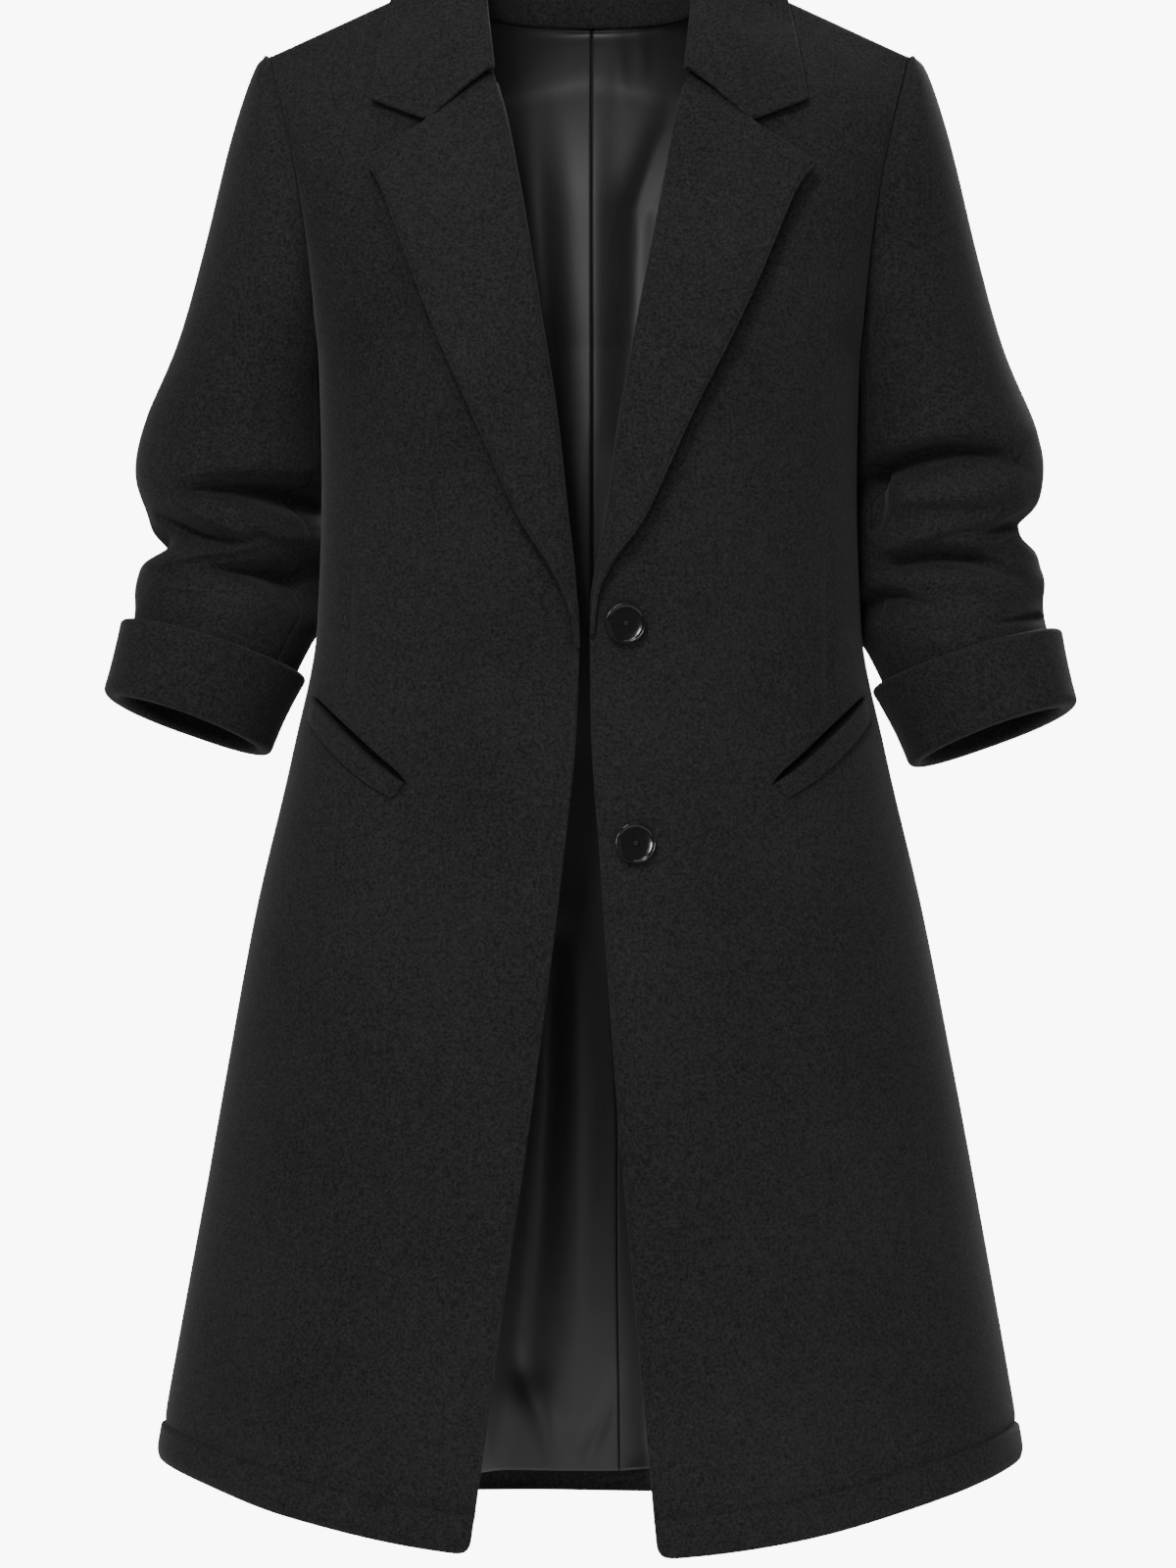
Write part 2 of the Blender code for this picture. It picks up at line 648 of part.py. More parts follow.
upper_turns = np.linspace(UPPER_FROM, UPPER_TO, SLEEVE_UPPER_STEPS + 1)
under_turns = np.linspace(UPPER_TO, UPPER_FROM + 360, SLEEVE_UNDER_STEPS + 1)
for side, name in ((-1, "right"), (1, "left")):
    axis = SLEEVE_MIDDLE * np.array([side, 1, 1])
    for part, turns in (("upper", upper_turns), ("under", under_turns)):
        own_turns = turns.copy()
        own_turns[0] += SEAM_TURN
        own_turns[-1] -= SEAM_TURN
        grid, normal = normals_of(lambda u, v: sleeve_skin(side, v, u), own_turns, SLEEVE_ROWS, axis)
        normal[0, :, 0] = 0
        normal[0] /= np.linalg.norm(normal[0], axis=-1, keepdims=True)
        wool(wall("sleeve_" + part + "_" + name, grid, grid - normal * CLOTH))
    around = np.concatenate([upper_turns[:-1], under_turns[:-1]])
    over = SLEEVE_ROWS[SLEEVE_ROWS >= CUFF_FROM_RING]
    grid, normal = normals_of(lambda u, v: sleeve_skin(side, v, u), around, over, axis)
    flare = CUFF_LIFT + CUFF_FLARE * (over[-1] - over) / (over[-1] - over[0])
    flare = flare[:, None, None]
    wool(wall("cuff_" + name, grid + normal * (flare + CUFF_CLOTH), grid + normal * flare, closed=True))

# Lapels, folded back at the roll line on to the fronts

for side, name in ((-1, "lapel_right"), (1, "lapel_left")):
    u, v = np.meshgrid(np.linspace(0, 1, LAPEL_STEPS[0] + 1), np.linspace(0, 1, LAPEL_STEPS[1] + 1))
    under = LAPEL_ROLL_LIFT + (LAPEL_EDGE_LIFT - LAPEL_ROLL_LIFT) * u
    wool(wall(name, lapel_skin(side, u, v, under + LAPEL_CLOTH), lapel_skin(side, u, v, under)))

# Collar, standing at the neck and falling over the shoulders

collar_turns = np.linspace(-1, 1, COLLAR_STEPS + 1)
grid, normal = normals_of(collar_skin, collar_turns, COLLAR_STOPS, COLLAR_MIDDLE)
wool(wall("collar", grid, grid - normal * COLLAR_CLOTH))

# Pocket welts on the fronts

for side, name in ((-1, "pocket_welt_right"), (1, "pocket_welt_left")):
    u, v = np.meshgrid(np.linspace(0, 1, WELT_STEPS[0] + 1), np.linspace(0, 1, WELT_STEPS[1] + 1))
    wool(wall(name, welt_skin(side, u, v, WELT_LIFT + WELT_CLOTH), welt_skin(side, u, v, WELT_LIFT)))

# Lining of the back in two halves, with a seam down the centre

ease = np.full((len(back_rows), 1, 1), CLOTH + LINING_EASE)
ease[-LINING_NECK_ROWS:] += LINING_NECK_EASE
lining_grid = back_grid - back_normal * ease
hem_share = LINING_HEM / (back_rows[1] - back_rows[0])
lining_grid[0] += (lining_grid[1] - lining_grid[0]) * hem_share
lining_grid[-1] += (lining_grid[-2] - lining_grid[-1]) * LINING_TOP
middle = BACK_STEPS[0] // 2
for side, name in ((-1, "lining_back_right"), (1, "lining_back_left")):
    chosen = middle + side * np.arange(middle)
    grid = lining_grid[:, chosen].copy()
    grid[:, 0, 0] += side * SEAM_GAP / 2
    satin(wall(name, grid, grid - back_normal[:, chosen] * LINING))

# Buttons with a raised rim and four holes, on the left front

for place in BUTTONS:
    profile = [(0.0, 0.0)]
    profile += [(BUTTON_RADIUS - ring.inset, ring.height) for ring in BUTTON_RINGS]
    profile += [(0.0, BUTTON_DISH_TOP)]
    work = bmesh.new()
    chain = [work.verts.new((r, 0.0, h)) for r, h in profile]
    edges = [work.edges.new(pair) for pair in zip(chain, chain[1:])]
    bmesh.ops.spin(
        work,
        geom=chain + edges,
        cent=(0, 0, 0),
        axis=(0, 0, 1),
        angle=2 * math.pi,
        steps=BUTTON_STEPS,
        use_merge=True,
    )
    bmesh.ops.remove_doubles(work, verts=work.verts, dist=0.00001)
    button = add_item(place.name, work)
    work = bmesh.new()
    for k in range(4):
        turn = math.pi / 4 + k * math.pi / 2
        made = bmesh.ops.create_cone(
            work,
            cap_ends=True,
            segments=HOLE_STEPS,
            radius1=BUTTON_HOLE,
            radius2=BUTTON_HOLE,
            depth=BUTTON_HOLE_DEEP,
        )
        shift = Vector((math.cos(turn), math.sin(turn), 0)) * BUTTON_HOLE_PITCH / math.sqrt(2)
        bmesh.ops.translate(work, verts=made["verts"], vec=shift)
    holes = add_item(place.name + "_holes", work)
    holes.hide_render = True
    holes.display_type = "WIRE"
    cut = button.modifiers.new("holes", "BOOLEAN")
    cut.operation = "DIFFERENCE"
    cut.solver = "EXACT"
    cut.object = holes
    base = front_lifted(1, place.x, place.z, place.lift)
    tip = front_lifted(1, place.x, place.z, 0.01)
    facing = Vector(tip - base).normalized()
    turned = facing.to_track_quat("Z", "Y")
    for item in (button, holes):
        item.rotation_mode = "QUATERNION"
        item.rotation_quaternion = turned
        item.location = Vector(base)
    gloss(button)
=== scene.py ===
import math

import bpy
import numpy as np
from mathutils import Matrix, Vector


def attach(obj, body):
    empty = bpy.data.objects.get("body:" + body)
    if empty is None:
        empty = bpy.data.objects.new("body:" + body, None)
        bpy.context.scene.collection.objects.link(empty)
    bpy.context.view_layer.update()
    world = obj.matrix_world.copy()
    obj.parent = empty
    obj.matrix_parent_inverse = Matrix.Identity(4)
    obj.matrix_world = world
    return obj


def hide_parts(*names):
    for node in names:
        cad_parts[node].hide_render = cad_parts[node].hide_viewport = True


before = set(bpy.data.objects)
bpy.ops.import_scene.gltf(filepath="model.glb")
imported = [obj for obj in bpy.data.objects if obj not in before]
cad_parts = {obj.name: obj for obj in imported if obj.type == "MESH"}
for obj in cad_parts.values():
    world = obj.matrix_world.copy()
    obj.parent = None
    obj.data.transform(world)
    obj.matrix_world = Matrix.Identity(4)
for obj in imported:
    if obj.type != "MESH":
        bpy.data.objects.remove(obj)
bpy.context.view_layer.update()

# Fronts
# Two fronts of thick felted wool, each cut in one piece from the shoulder seam to the hem.
# The front edge is faced and turned, the hem is turned up and caught down by hand, and a
# faint dart runs down towards each pocket.

LEVEL_COLUMNS = "z half_width front_side back_side front back curve turn front_dip back_dip lift".split()
BODY_LEVELS = np.array([
    (-0.965, 0.2870, 0.000, 0.000, -0.166, 0.172, 2.10, 2.10, 0.0500, 0.044, 0.0000),
    (-0.840, 0.2650, 0.000, 0.000, -0.157, 0.161, 2.10, 2.10, 0.0395, 0.035, 0.0000),
    (-0.715, 0.2425, 0.000, 0.000, -0.148, 0.149, 2.15, 2.15, 0.0280, 0.025, 0.0000),
    (-0.600, 0.2200, 0.000, 0.000, -0.139, 0.137, 2.20, 2.20, 0.0160, 0.014, 0.0000),
    (-0.500, 0.1965, -0.001, -0.001, -0.130, 0.121, 2.25, 2.25, 0.0070, 0.006, 0.0000),
    (-0.415, 0.1800, -0.003, -0.003, -0.123, 0.103, 2.30, 2.30, 0.0010, 0.001, 0.0000),
    (-0.325, 0.1772, -0.004, -0.004, -0.125, 0.101, 2.30, 2.30, 0.0000, 0.000, 0.0000),
    (-0.235, 0.1795, -0.004, -0.004, -0.123, 0.108, 2.30, 2.30, 0.0000, 0.000, 0.0000),
    (-0.222, 0.1805, -0.022, 0.020, -0.121, 0.109, 2.30, 2.10, 0.0000, 0.000, 0.0010),
    (-0.185, 0.1835, -0.038, 0.042, -0.114, 0.109, 2.25, 1.80, 0.0000, 0.000, 0.0060),
    (-0.130, 0.1908, -0.045, 0.055, -0.096, 0.106, 2.20, 1.60, 0.0000, 0.000, 0.0180),
    (-0.085, 0.2005, -0.036, 0.044, -0.069, 0.095, 2.20, 1.50, 0.0000, 0.000, 0.0380),
    (-0.038, 0.2125, -0.004, -0.004, -0.004, -0.004, 2.20, 1.50, 0.0000, 0.000, 0.0986),
])
HEM = -0.965
UNDERARM = -0.235
SHOULDER = -0.038
SHOULDER_HALF = 0.2125
WOOL_THICK = 0.0026

# Distance of each front edge from the centre line at these heights.

EDGE_HEIGHTS = (
    -0.965, -0.820, -0.680, -0.555, -0.475, -0.415, -0.390, -0.310, -0.235, -0.185, -0.130, -0.085, -0.038,
)
FRONT_EDGES = {
    "right": (
        0.0764, 0.0550, 0.0334, 0.0163, 0.0079, 0.0061, 0.0080, 0.0173, 0.0277, 0.0381, 0.0480, 0.0590,
        0.0870,
    ),
    "left": (
        0.0434, 0.0294, 0.0161, 0.0066, 0.0009, 0.0002, 0.0016, 0.0151, 0.0271, 0.0385, 0.0510, 0.0610,
        0.0870,
    ),
}
BREAK = -0.400
BREAK_BELOW = 0.02
BREAK_ABOVE = 0.05
ROLL_SETBACK = 0.0035
EDGE_RIM = 0.0038
EDGE_GROOVE = 0.0009
EDGE_GROOVE_WIDE = 0.0011
EDGE_GROOVE_FADE = 0.03
HEM_TURN_UP = 0.023
HEM_DOUBLED = 0.0014
HEM_STITCH = 0.0016
HEM_STITCH_WIDE = 0.0015
HEM_STEP = 0.0008
HEM_CORNER = 0.0075
HEM_ROLL = 0.0026
HEM_ROLL_HIGH = 0.0035
HEM_WIDTH = 0.30
SIDE_SEAM_SINK = 0.0009
SIDE_SEAM_WIDE = 0.003
FRONT_WIDTH = 0.2
SEAM_GAP = 0.0008
SEAM_ALLOWANCE = 0.007
TUBE_MERGE = 0.00002
MOUTH = np.array([
    (0.1205, -0.5195), (0.1390, -0.5065), (0.1550, -0.4920), (0.1700, -0.4765), (0.1805, -0.4640),
])
MOUTH_MIDDLE = 0.1520
MOUTH_OPEN = 0.0050
MOUTH_DEEP = 0.0130
MOUTH_NEAR = 0.010
MOUTH_REACH = 0.080
MOUTH_DROP = (0.010, 0.014)
MOUTH_RISE = (0.005, 0.004)
COAT_MIDDLE = (0, 0, -0.4)

# Each fold is a line of places in front view, in millimetres: x, z, width and depth. A depth
# below zero is a trough.

MM = 0.001
FOLD_TURN = 0.6

FRONT_FOLDS = {
    "right": [
        [(-107.8, -343.5, 26, -1), (-106.6, -419.1, 30, -5), (-109.1, -494.8, 34, -6),
         (-112.9, -570.4, 36, -5), (-120.4, -652.4, 36, -2)],
        [(-142.5, -368.7, 24, 0.5), (-144.4, -444.3, 26, 2), (-150.7, -583.1, 30, 2),
         (-158.3, -709.1, 36, 1)],
        [(-63.7, -457, 30, 0.5), (-70, -551.5, 34, 2), (-82.6, -677.6, 40, 2), (-95.2, -835.3, 44, 1)],
        [(-221.3, -646.1, 26, -0.5), (-230.1, -772.2, 32, -3), (-239, -898.3, 36, -4),
         (-244, -974, 36, -4)],
        [(-164.6, -740.7, 30, -0.5), (-167.1, -866.8, 34, -2), (-169.6, -992.9, 36, -3)],
        [(-196.1, -772.2, 30, 0.5), (-199.9, -898.3, 34, 2), (-203.7, -986.6, 34, 3)],
        [(-156.2, -389.4, 2.6, -1.8), (-155.6, -459.2, 2.6, -1.8)],
    ],
    "left": [
        [(106.6, -368.7, 30, -0.5), (107.8, -457, 32, -3), (109.7, -557.8, 34, -3), (116, -646.1, 36, -1)],
        [(56.1, -583.1, 34, 0.5), (65.6, -709.1, 38, 2), (76.3, -866.8, 40, 2), (81.3, -999.2, 40, 2)],
        [(163.3, -614.6, 30, -0.5), (175.9, -740.7, 34, -2), (189.8, -898.3, 36, -4),
         (196.1, -980.3, 36, -4)],
        [(226.3, -740.7, 26, 0.3), (242.1, -898.3, 30, 2), (248.4, -961.3, 30, 2)],
        [(125.5, -740.7, 30, 0.3), (134.9, -898.3, 34, 2), (139.3, -992.9, 34, 2)],
        [(156.2, -366.3, 2.6, -2.2), (156.2, -459.2, 2.6, -2.2)],
    ],
}


def bend(near, far, leave, arrive, f):
    """Curve from near to far that leaves and arrives along the given directions."""
    return ((1 + 2 * f) * (1 - f) ** 2 * near + f * (1 - f) ** 2 * leave
            + f * f * (3 - 2 * f) * far + f * f * (f - 1) * arrive)


def run_through(places, values, where):
    """Smooth line through the values at their places, with no overshoot."""
    places = np.asarray(places, float)
    values = np.asarray(values, float)
    where = np.clip(np.asarray(where, float), places[0], places[-1])
    step = np.diff(places)
    slope = np.diff(values) / step
    tangent = np.empty_like(values)
    tangent[0] = slope[0]
    tangent[-1] = slope[-1]
    for i in range(1, len(values) - 1):
        near, far = slope[i - 1], slope[i]
        low, high = 2 * step[i] + step[i - 1], step[i] + 2 * step[i - 1]
        tangent[i] = 0.0 if near * far <= 0 else (low + high) / (low / near + high / far)
    i = np.clip(np.searchsorted(places, where, side="right") - 1, 0, len(places) - 2)
    run = step[i]
    f = (where - places[i]) / run
    return bend(values[i], values[i + 1], run * tangent[i], run * tangent[i + 1], f)


def ease(low, high, value):
    """Soft step from 0 to 1 as the value goes from low to high."""
    share = np.clip((value - low) / (high - low), 0, 1)
    return share * share * (3 - 2 * share)


def dent(away, width):
    """Soft hollow, 1 in its middle and near 0 two widths away."""
    return np.exp(-(away / width) ** 2)


def body_size(name, height):
    """One of the body's sizes at a height."""
    return run_through(BODY_LEVELS[:, 0], BODY_LEVELS[:, LEVEL_COLUMNS.index(name)], height)


def body_point(face, height, angle):
    """Outside of the body at a height; angle runs from the centre line to the side seam."""
    height, angle = np.broadcast_arrays(height, angle)
    half = "front" if face < 0 else "back"
    side_depth = body_size(half + "_side", height)
    turned = np.abs(np.cos(angle)) ** (2 / body_size("turn", height))
    spread = np.abs(np.sin(angle)) ** (2 / body_size("curve", height))
    x = np.sign(np.sin(angle)) * spread * body_size("half_width", height)
    y = side_depth + (body_size(half, height) - side_depth) * turned
    drop = body_size(half + "_dip", height) * np.abs(np.cos(angle)) ** (2.2 if face < 0 else 1.4)
    rise = body_size("lift", height) * (1 - np.abs(x) / SHOULDER_HALF)
    return np.stack([x, y, height - drop + rise], axis=-1)


def angle_at(height, x):
    """Angle round the body, from the centre line, at which x is reached at a height."""
    share = np.clip(np.abs(x) / body_size("half_width", height), 0, 1)
    return np.arcsin(share ** (body_size("curve", height) / 2))


def height_seen(x, z):
    """Height on the front at which a point at x shows at z from the front."""
    x, z = np.broadcast_arrays(np.abs(np.asarray(x, float)), np.asarray(z, float))
    low, high = np.full(x.shape, HEM), np.full(x.shape, SHOULDER)
    for _ in range(40):
        middle = (low + high) / 2
        over = body_point(-1, middle, angle_at(middle, x))[..., 2] > z
        high, low = np.where(over, middle, high), np.where(over, low, middle)
    return low


def mouth_line(x):
    """Height in front view of a pocket mouth; it runs out level at both ends."""
    line = run_through(MOUTH[:, 0], MOUTH[:, 1], x)
    (drop, drop_reach), (rise, rise_reach) = MOUTH_DROP, MOUTH_RISE
    line = line - drop * (1 - np.exp(-np.maximum(MOUTH[0, 0] - x, 0) / drop_reach))
    return line + rise * (1 - np.exp(-np.maximum(x - MOUTH[-1, 0], 0) / rise_reach))


def faces_out(points, middle, tube=False):
    """Unit normals over a grid of points, away from the middle."""
    if tube:
        ring = points[:, :-1]
        across = np.roll(ring, -1, axis=1) - np.roll(ring, 1, axis=1)
        across = np.concatenate([across, across[:, :1]], axis=1)
    else:
        across = np.gradient(points, axis=1)
    normal = np.cross(across, np.gradient(points, axis=0))
    normal /= np.maximum(np.linalg.norm(normal, axis=-1, keepdims=True), 1e-12)
    if np.mean(np.sum(normal * (points - np.asarray(middle)), axis=-1)) < 0:
        normal = -normal
    return normal


def pressed(points, folds):
    """How far each point of a grid moves out for the folds laid over it in front view."""
    x, z = points[..., 0], points[..., 2]
    move = np.zeros(x.shape)
    for fold in folds:
        above, below, path = fold if isinstance(fold, tuple) else (1.0, 1.0, fold)
        path = np.array(path) * MM
        nearest = np.full(x.shape, np.inf)
        amount = np.zeros(x.shape)
        for a, b in zip(path, path[1:]):
            run_x, run_z = b[0] - a[0], b[1] - a[1]
            t = np.clip(((x - a[0]) * run_x + (z - a[1]) * run_z) / (run_x ** 2 + run_z ** 2), 0, 1)
            off_x, off_z = x - a[0] - run_x * t, z - a[1] - run_z * t
            away = np.hypot(off_x, off_z)
            width = a[2] + (b[2] - a[2]) * t
            upper = 0.5 + 0.5 * np.clip(off_z / (FOLD_TURN * width), -1, 1)
            width = width * (below + (above - below) * upper)
            here = (a[3] + (b[3] - a[3]) * t) * dent(away, width)
            amount = np.where(away < nearest, here, amount)
            nearest = np.minimum(away, nearest)
        move += amount
    return move


def hem_and_seam(up, from_seam):
    """Move out for the doubled hem, and in along its stitches, its rolled edge and the side seam."""
    doubled = HEM_DOUBLED * (1 - ease(HEM_TURN_UP - HEM_STEP, HEM_TURN_UP + HEM_STEP, up))
    stitched = HEM_STITCH * dent(up - HEM_TURN_UP - HEM_STEP, HEM_STITCH_WIDE)
    rolled = HEM_ROLL * dent(up, HEM_ROLL_HIGH)
    return doubled - stitched - rolled - SIDE_SEAM_SINK * dent(from_seam, SIDE_SEAM_WIDE)


def lay_cloth(name, points, outward, thick, tube=False, finer=1):
    """Shape a grid to the points, then give it its thickness inwards and soft edges."""
    facing = np.cross(points[:-1, 1:] - points[:-1, :-1], points[1:, :-1] - points[:-1, :-1])
    if np.sum(facing * outward[:-1, :-1]) < 0:
        points = points[:, ::-1]
    rows, columns = points.shape[:2]
    bpy.ops.object.select_all(action="DESELECT")
    bpy.ops.mesh.primitive_grid_add(x_subdivisions=columns - 1, y_subdivisions=rows - 1, size=1)
    piece = bpy.context.object
    piece.name = name
    piece.data.name = name
    piece.data.vertices.foreach_set("co", np.ascontiguousarray(points, dtype=np.float32).reshape(-1))
    piece.data.update()
    if tube:
        bpy.ops.object.mode_set(mode="EDIT")
        bpy.ops.mesh.select_all(action="SELECT")
        bpy.ops.mesh.remove_doubles(threshold=TUBE_MERGE)
        bpy.ops.object.mode_set(mode="OBJECT")
    shell = piece.modifiers.new("thickness", "SOLIDIFY")
    shell.thickness = thick
    shell.offset = -1
    bpy.ops.object.modifier_apply(modifier=shell.name)
    if finer:
        soft = piece.modifiers.new("soft_edges", "SUBSURF")
        soft.levels = finer
        soft.render_levels = finer
        bpy.ops.object.modifier_apply(modifier=soft.name)
    bpy.ops.object.shade_smooth()
    return piece


def sew_in(piece, node, cloth):
    """Give a cloth piece its material and its body, and hide the node it stands for."""
    piece.data.materials.append(cloth)
    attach(piece, "root")
    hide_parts(node)


def felt_group():
    """Felted wool: dark fibre with paler flecks, a slow change of tone and a fine raised nap."""
    group = bpy.data.node_groups.new("felted_fibre", "ShaderNodeTree")
    socket = group.interface.new_socket
    socket("Dark", in_out="INPUT", socket_type="NodeSocketColor")
    socket("Fleck", in_out="INPUT", socket_type="NodeSocketColor")
    socket("Fleck Amount", in_out="INPUT", socket_type="NodeSocketFloat")
    socket("Color", in_out="OUTPUT", socket_type="NodeSocketColor")
    socket("Nap", in_out="OUTPUT", socket_type="NodeSocketFloat")
    socket("Roughness", in_out="OUTPUT", socket_type="NodeSocketFloat")
    nodes, links = group.nodes, group.links
    given = nodes.new("NodeGroupInput")
    put = nodes.new("NodeGroupOutput")
    place = nodes.new("ShaderNodeTexCoord")

    def noise(scale, detail, roughness):
        grain = nodes.new("ShaderNodeTexNoise")
        grain.inputs["Scale"].default_value = scale
        grain.inputs["Detail"].default_value = detail
        grain.inputs["Roughness"].default_value = roughness
        links.new(place.outputs["Object"], grain.inputs["Vector"])
        return grain.outputs["Fac"]

    def sum_of(a, share, b):
        add = nodes.new("ShaderNodeMath")
        add.operation = "MULTIPLY_ADD"
        links.new(a, add.inputs[0])
        add.inputs[1].default_value = share
        if isinstance(b, float):
            add.inputs[2].default_value = b
        else:
            links.new(b, add.inputs[2])
        return add.outputs[0]

    flecks = noise(520, 4.0, 0.62)
    fibre = noise(1700, 3.0, 0.6)
    mottle = noise(150, 2.0, 0.5)
    cloud = noise(9, 2.0, 0.5)
    tone = sum_of(cloud, 0.16, -0.36)
    tone = sum_of(mottle, 0.14, tone)
    tone = sum_of(fibre, 0.42, tone)
    tone = sum_of(flecks, 0.95, tone)
    spread = nodes.new("ShaderNodeMapRange")
    spread.inputs["From Min"].default_value = 0.30
    spread.inputs["From Max"].default_value = 0.72
    links.new(tone, spread.inputs["Value"])
    strong = nodes.new("ShaderNodeMath")
    strong.operation = "MULTIPLY"
    links.new(spread.outputs["Result"], strong.inputs[0])
    links.new(given.outputs["Fleck Amount"], strong.inputs[1])
    colour = nodes.new("ShaderNodeMix")
    colour.data_type = "RGBA"
    links.new(strong.outputs[0], colour.inputs["Factor"])
    links.new(given.outputs["Dark"], colour.inputs["A"])
    links.new(given.outputs["Fleck"], colour.inputs["B"])
    links.new(colour.outputs["Result"], put.inputs["Color"])
    nap = sum_of(fibre, 0.7, 0.0)
    nap = sum_of(flecks, 0.9, nap)
    links.new(nap, put.inputs["Nap"])
    rough = sum_of(mottle, 0.12, 0.84)
    links.new(rough, put.inputs["Roughness"])
    return group


wool = bpy.data.materials.new("charcoal_wool")
wool.use_nodes = True
wool_shader = wool.node_tree.nodes["Principled BSDF"]
wool_fibre = wool.node_tree.nodes.new("ShaderNodeGroup")
wool_fibre.node_tree = felt_group()
wool_fibre.inputs["Dark"].default_value = (0.0036, 0.0036, 0.0038, 1)
wool_fibre.inputs["Fleck"].default_value = (0.032, 0.032, 0.033, 1)
wool_fibre.inputs["Fleck Amount"].default_value = 1.0
wool_nap = wool.node_tree.nodes.new("ShaderNodeBump")
wool_nap.inputs["Strength"].default_value = 0.35
wool_nap.inputs["Distance"].default_value = 0.0008
wool.node_tree.links.new(wool_fibre.outputs["Color"], wool_shader.inputs["Base Color"])
wool.node_tree.links.new(wool_fibre.outputs["Roughness"], wool_shader.inputs["Roughness"])
wool.node_tree.links.new(wool_fibre.outputs["Nap"], wool_nap.inputs["Height"])
wool.node_tree.links.new(wool_nap.outputs["Normal"], wool_shader.inputs["Normal"])
wool_shader.inputs["Specular IOR Level"].default_value = 0.25
wool_shader.inputs["Sheen Weight"].default_value = 0.10
wool_shader.inputs["Sheen Roughness"].default_value = 0.45
wool_shader.inputs["Sheen Tint"].default_value = (0.75, 0.75, 0.78, 1)

front_columns = np.concatenate([
    [0.0, 0.003, 0.007, 0.0100, 0.0125, 0.0150, 0.0185, 0.026], np.linspace(0.045, 0.985, 60), [0.994, 1.0],
])
mouth_middle = float(height_seen(MOUTH_MIDDLE, mouth_line(MOUTH_MIDDLE)))
hem_rows = HEM + np.array([
    0.0, 0.0012, 0.0035, 0.0070, 0.0120, 0.0175, 0.0205, 0.0220, 0.0230, 0.0240, 0.0255,
])
rows_below = np.concatenate([
    hem_rows, np.arange(-0.9340, -0.590, 0.0110), np.arange(-0.586, mouth_middle - 0.007, 0.0062),
])
rows_above = np.concatenate([
    np.arange(mouth_middle + 0.0105, -0.413, 0.0062), np.arange(-0.409, -0.062, 0.0085),
    np.linspace(-0.059, SHOULDER, 7),
])

# Rows across a pocket mouth: height from its middle, share of its opening and share of its depth.

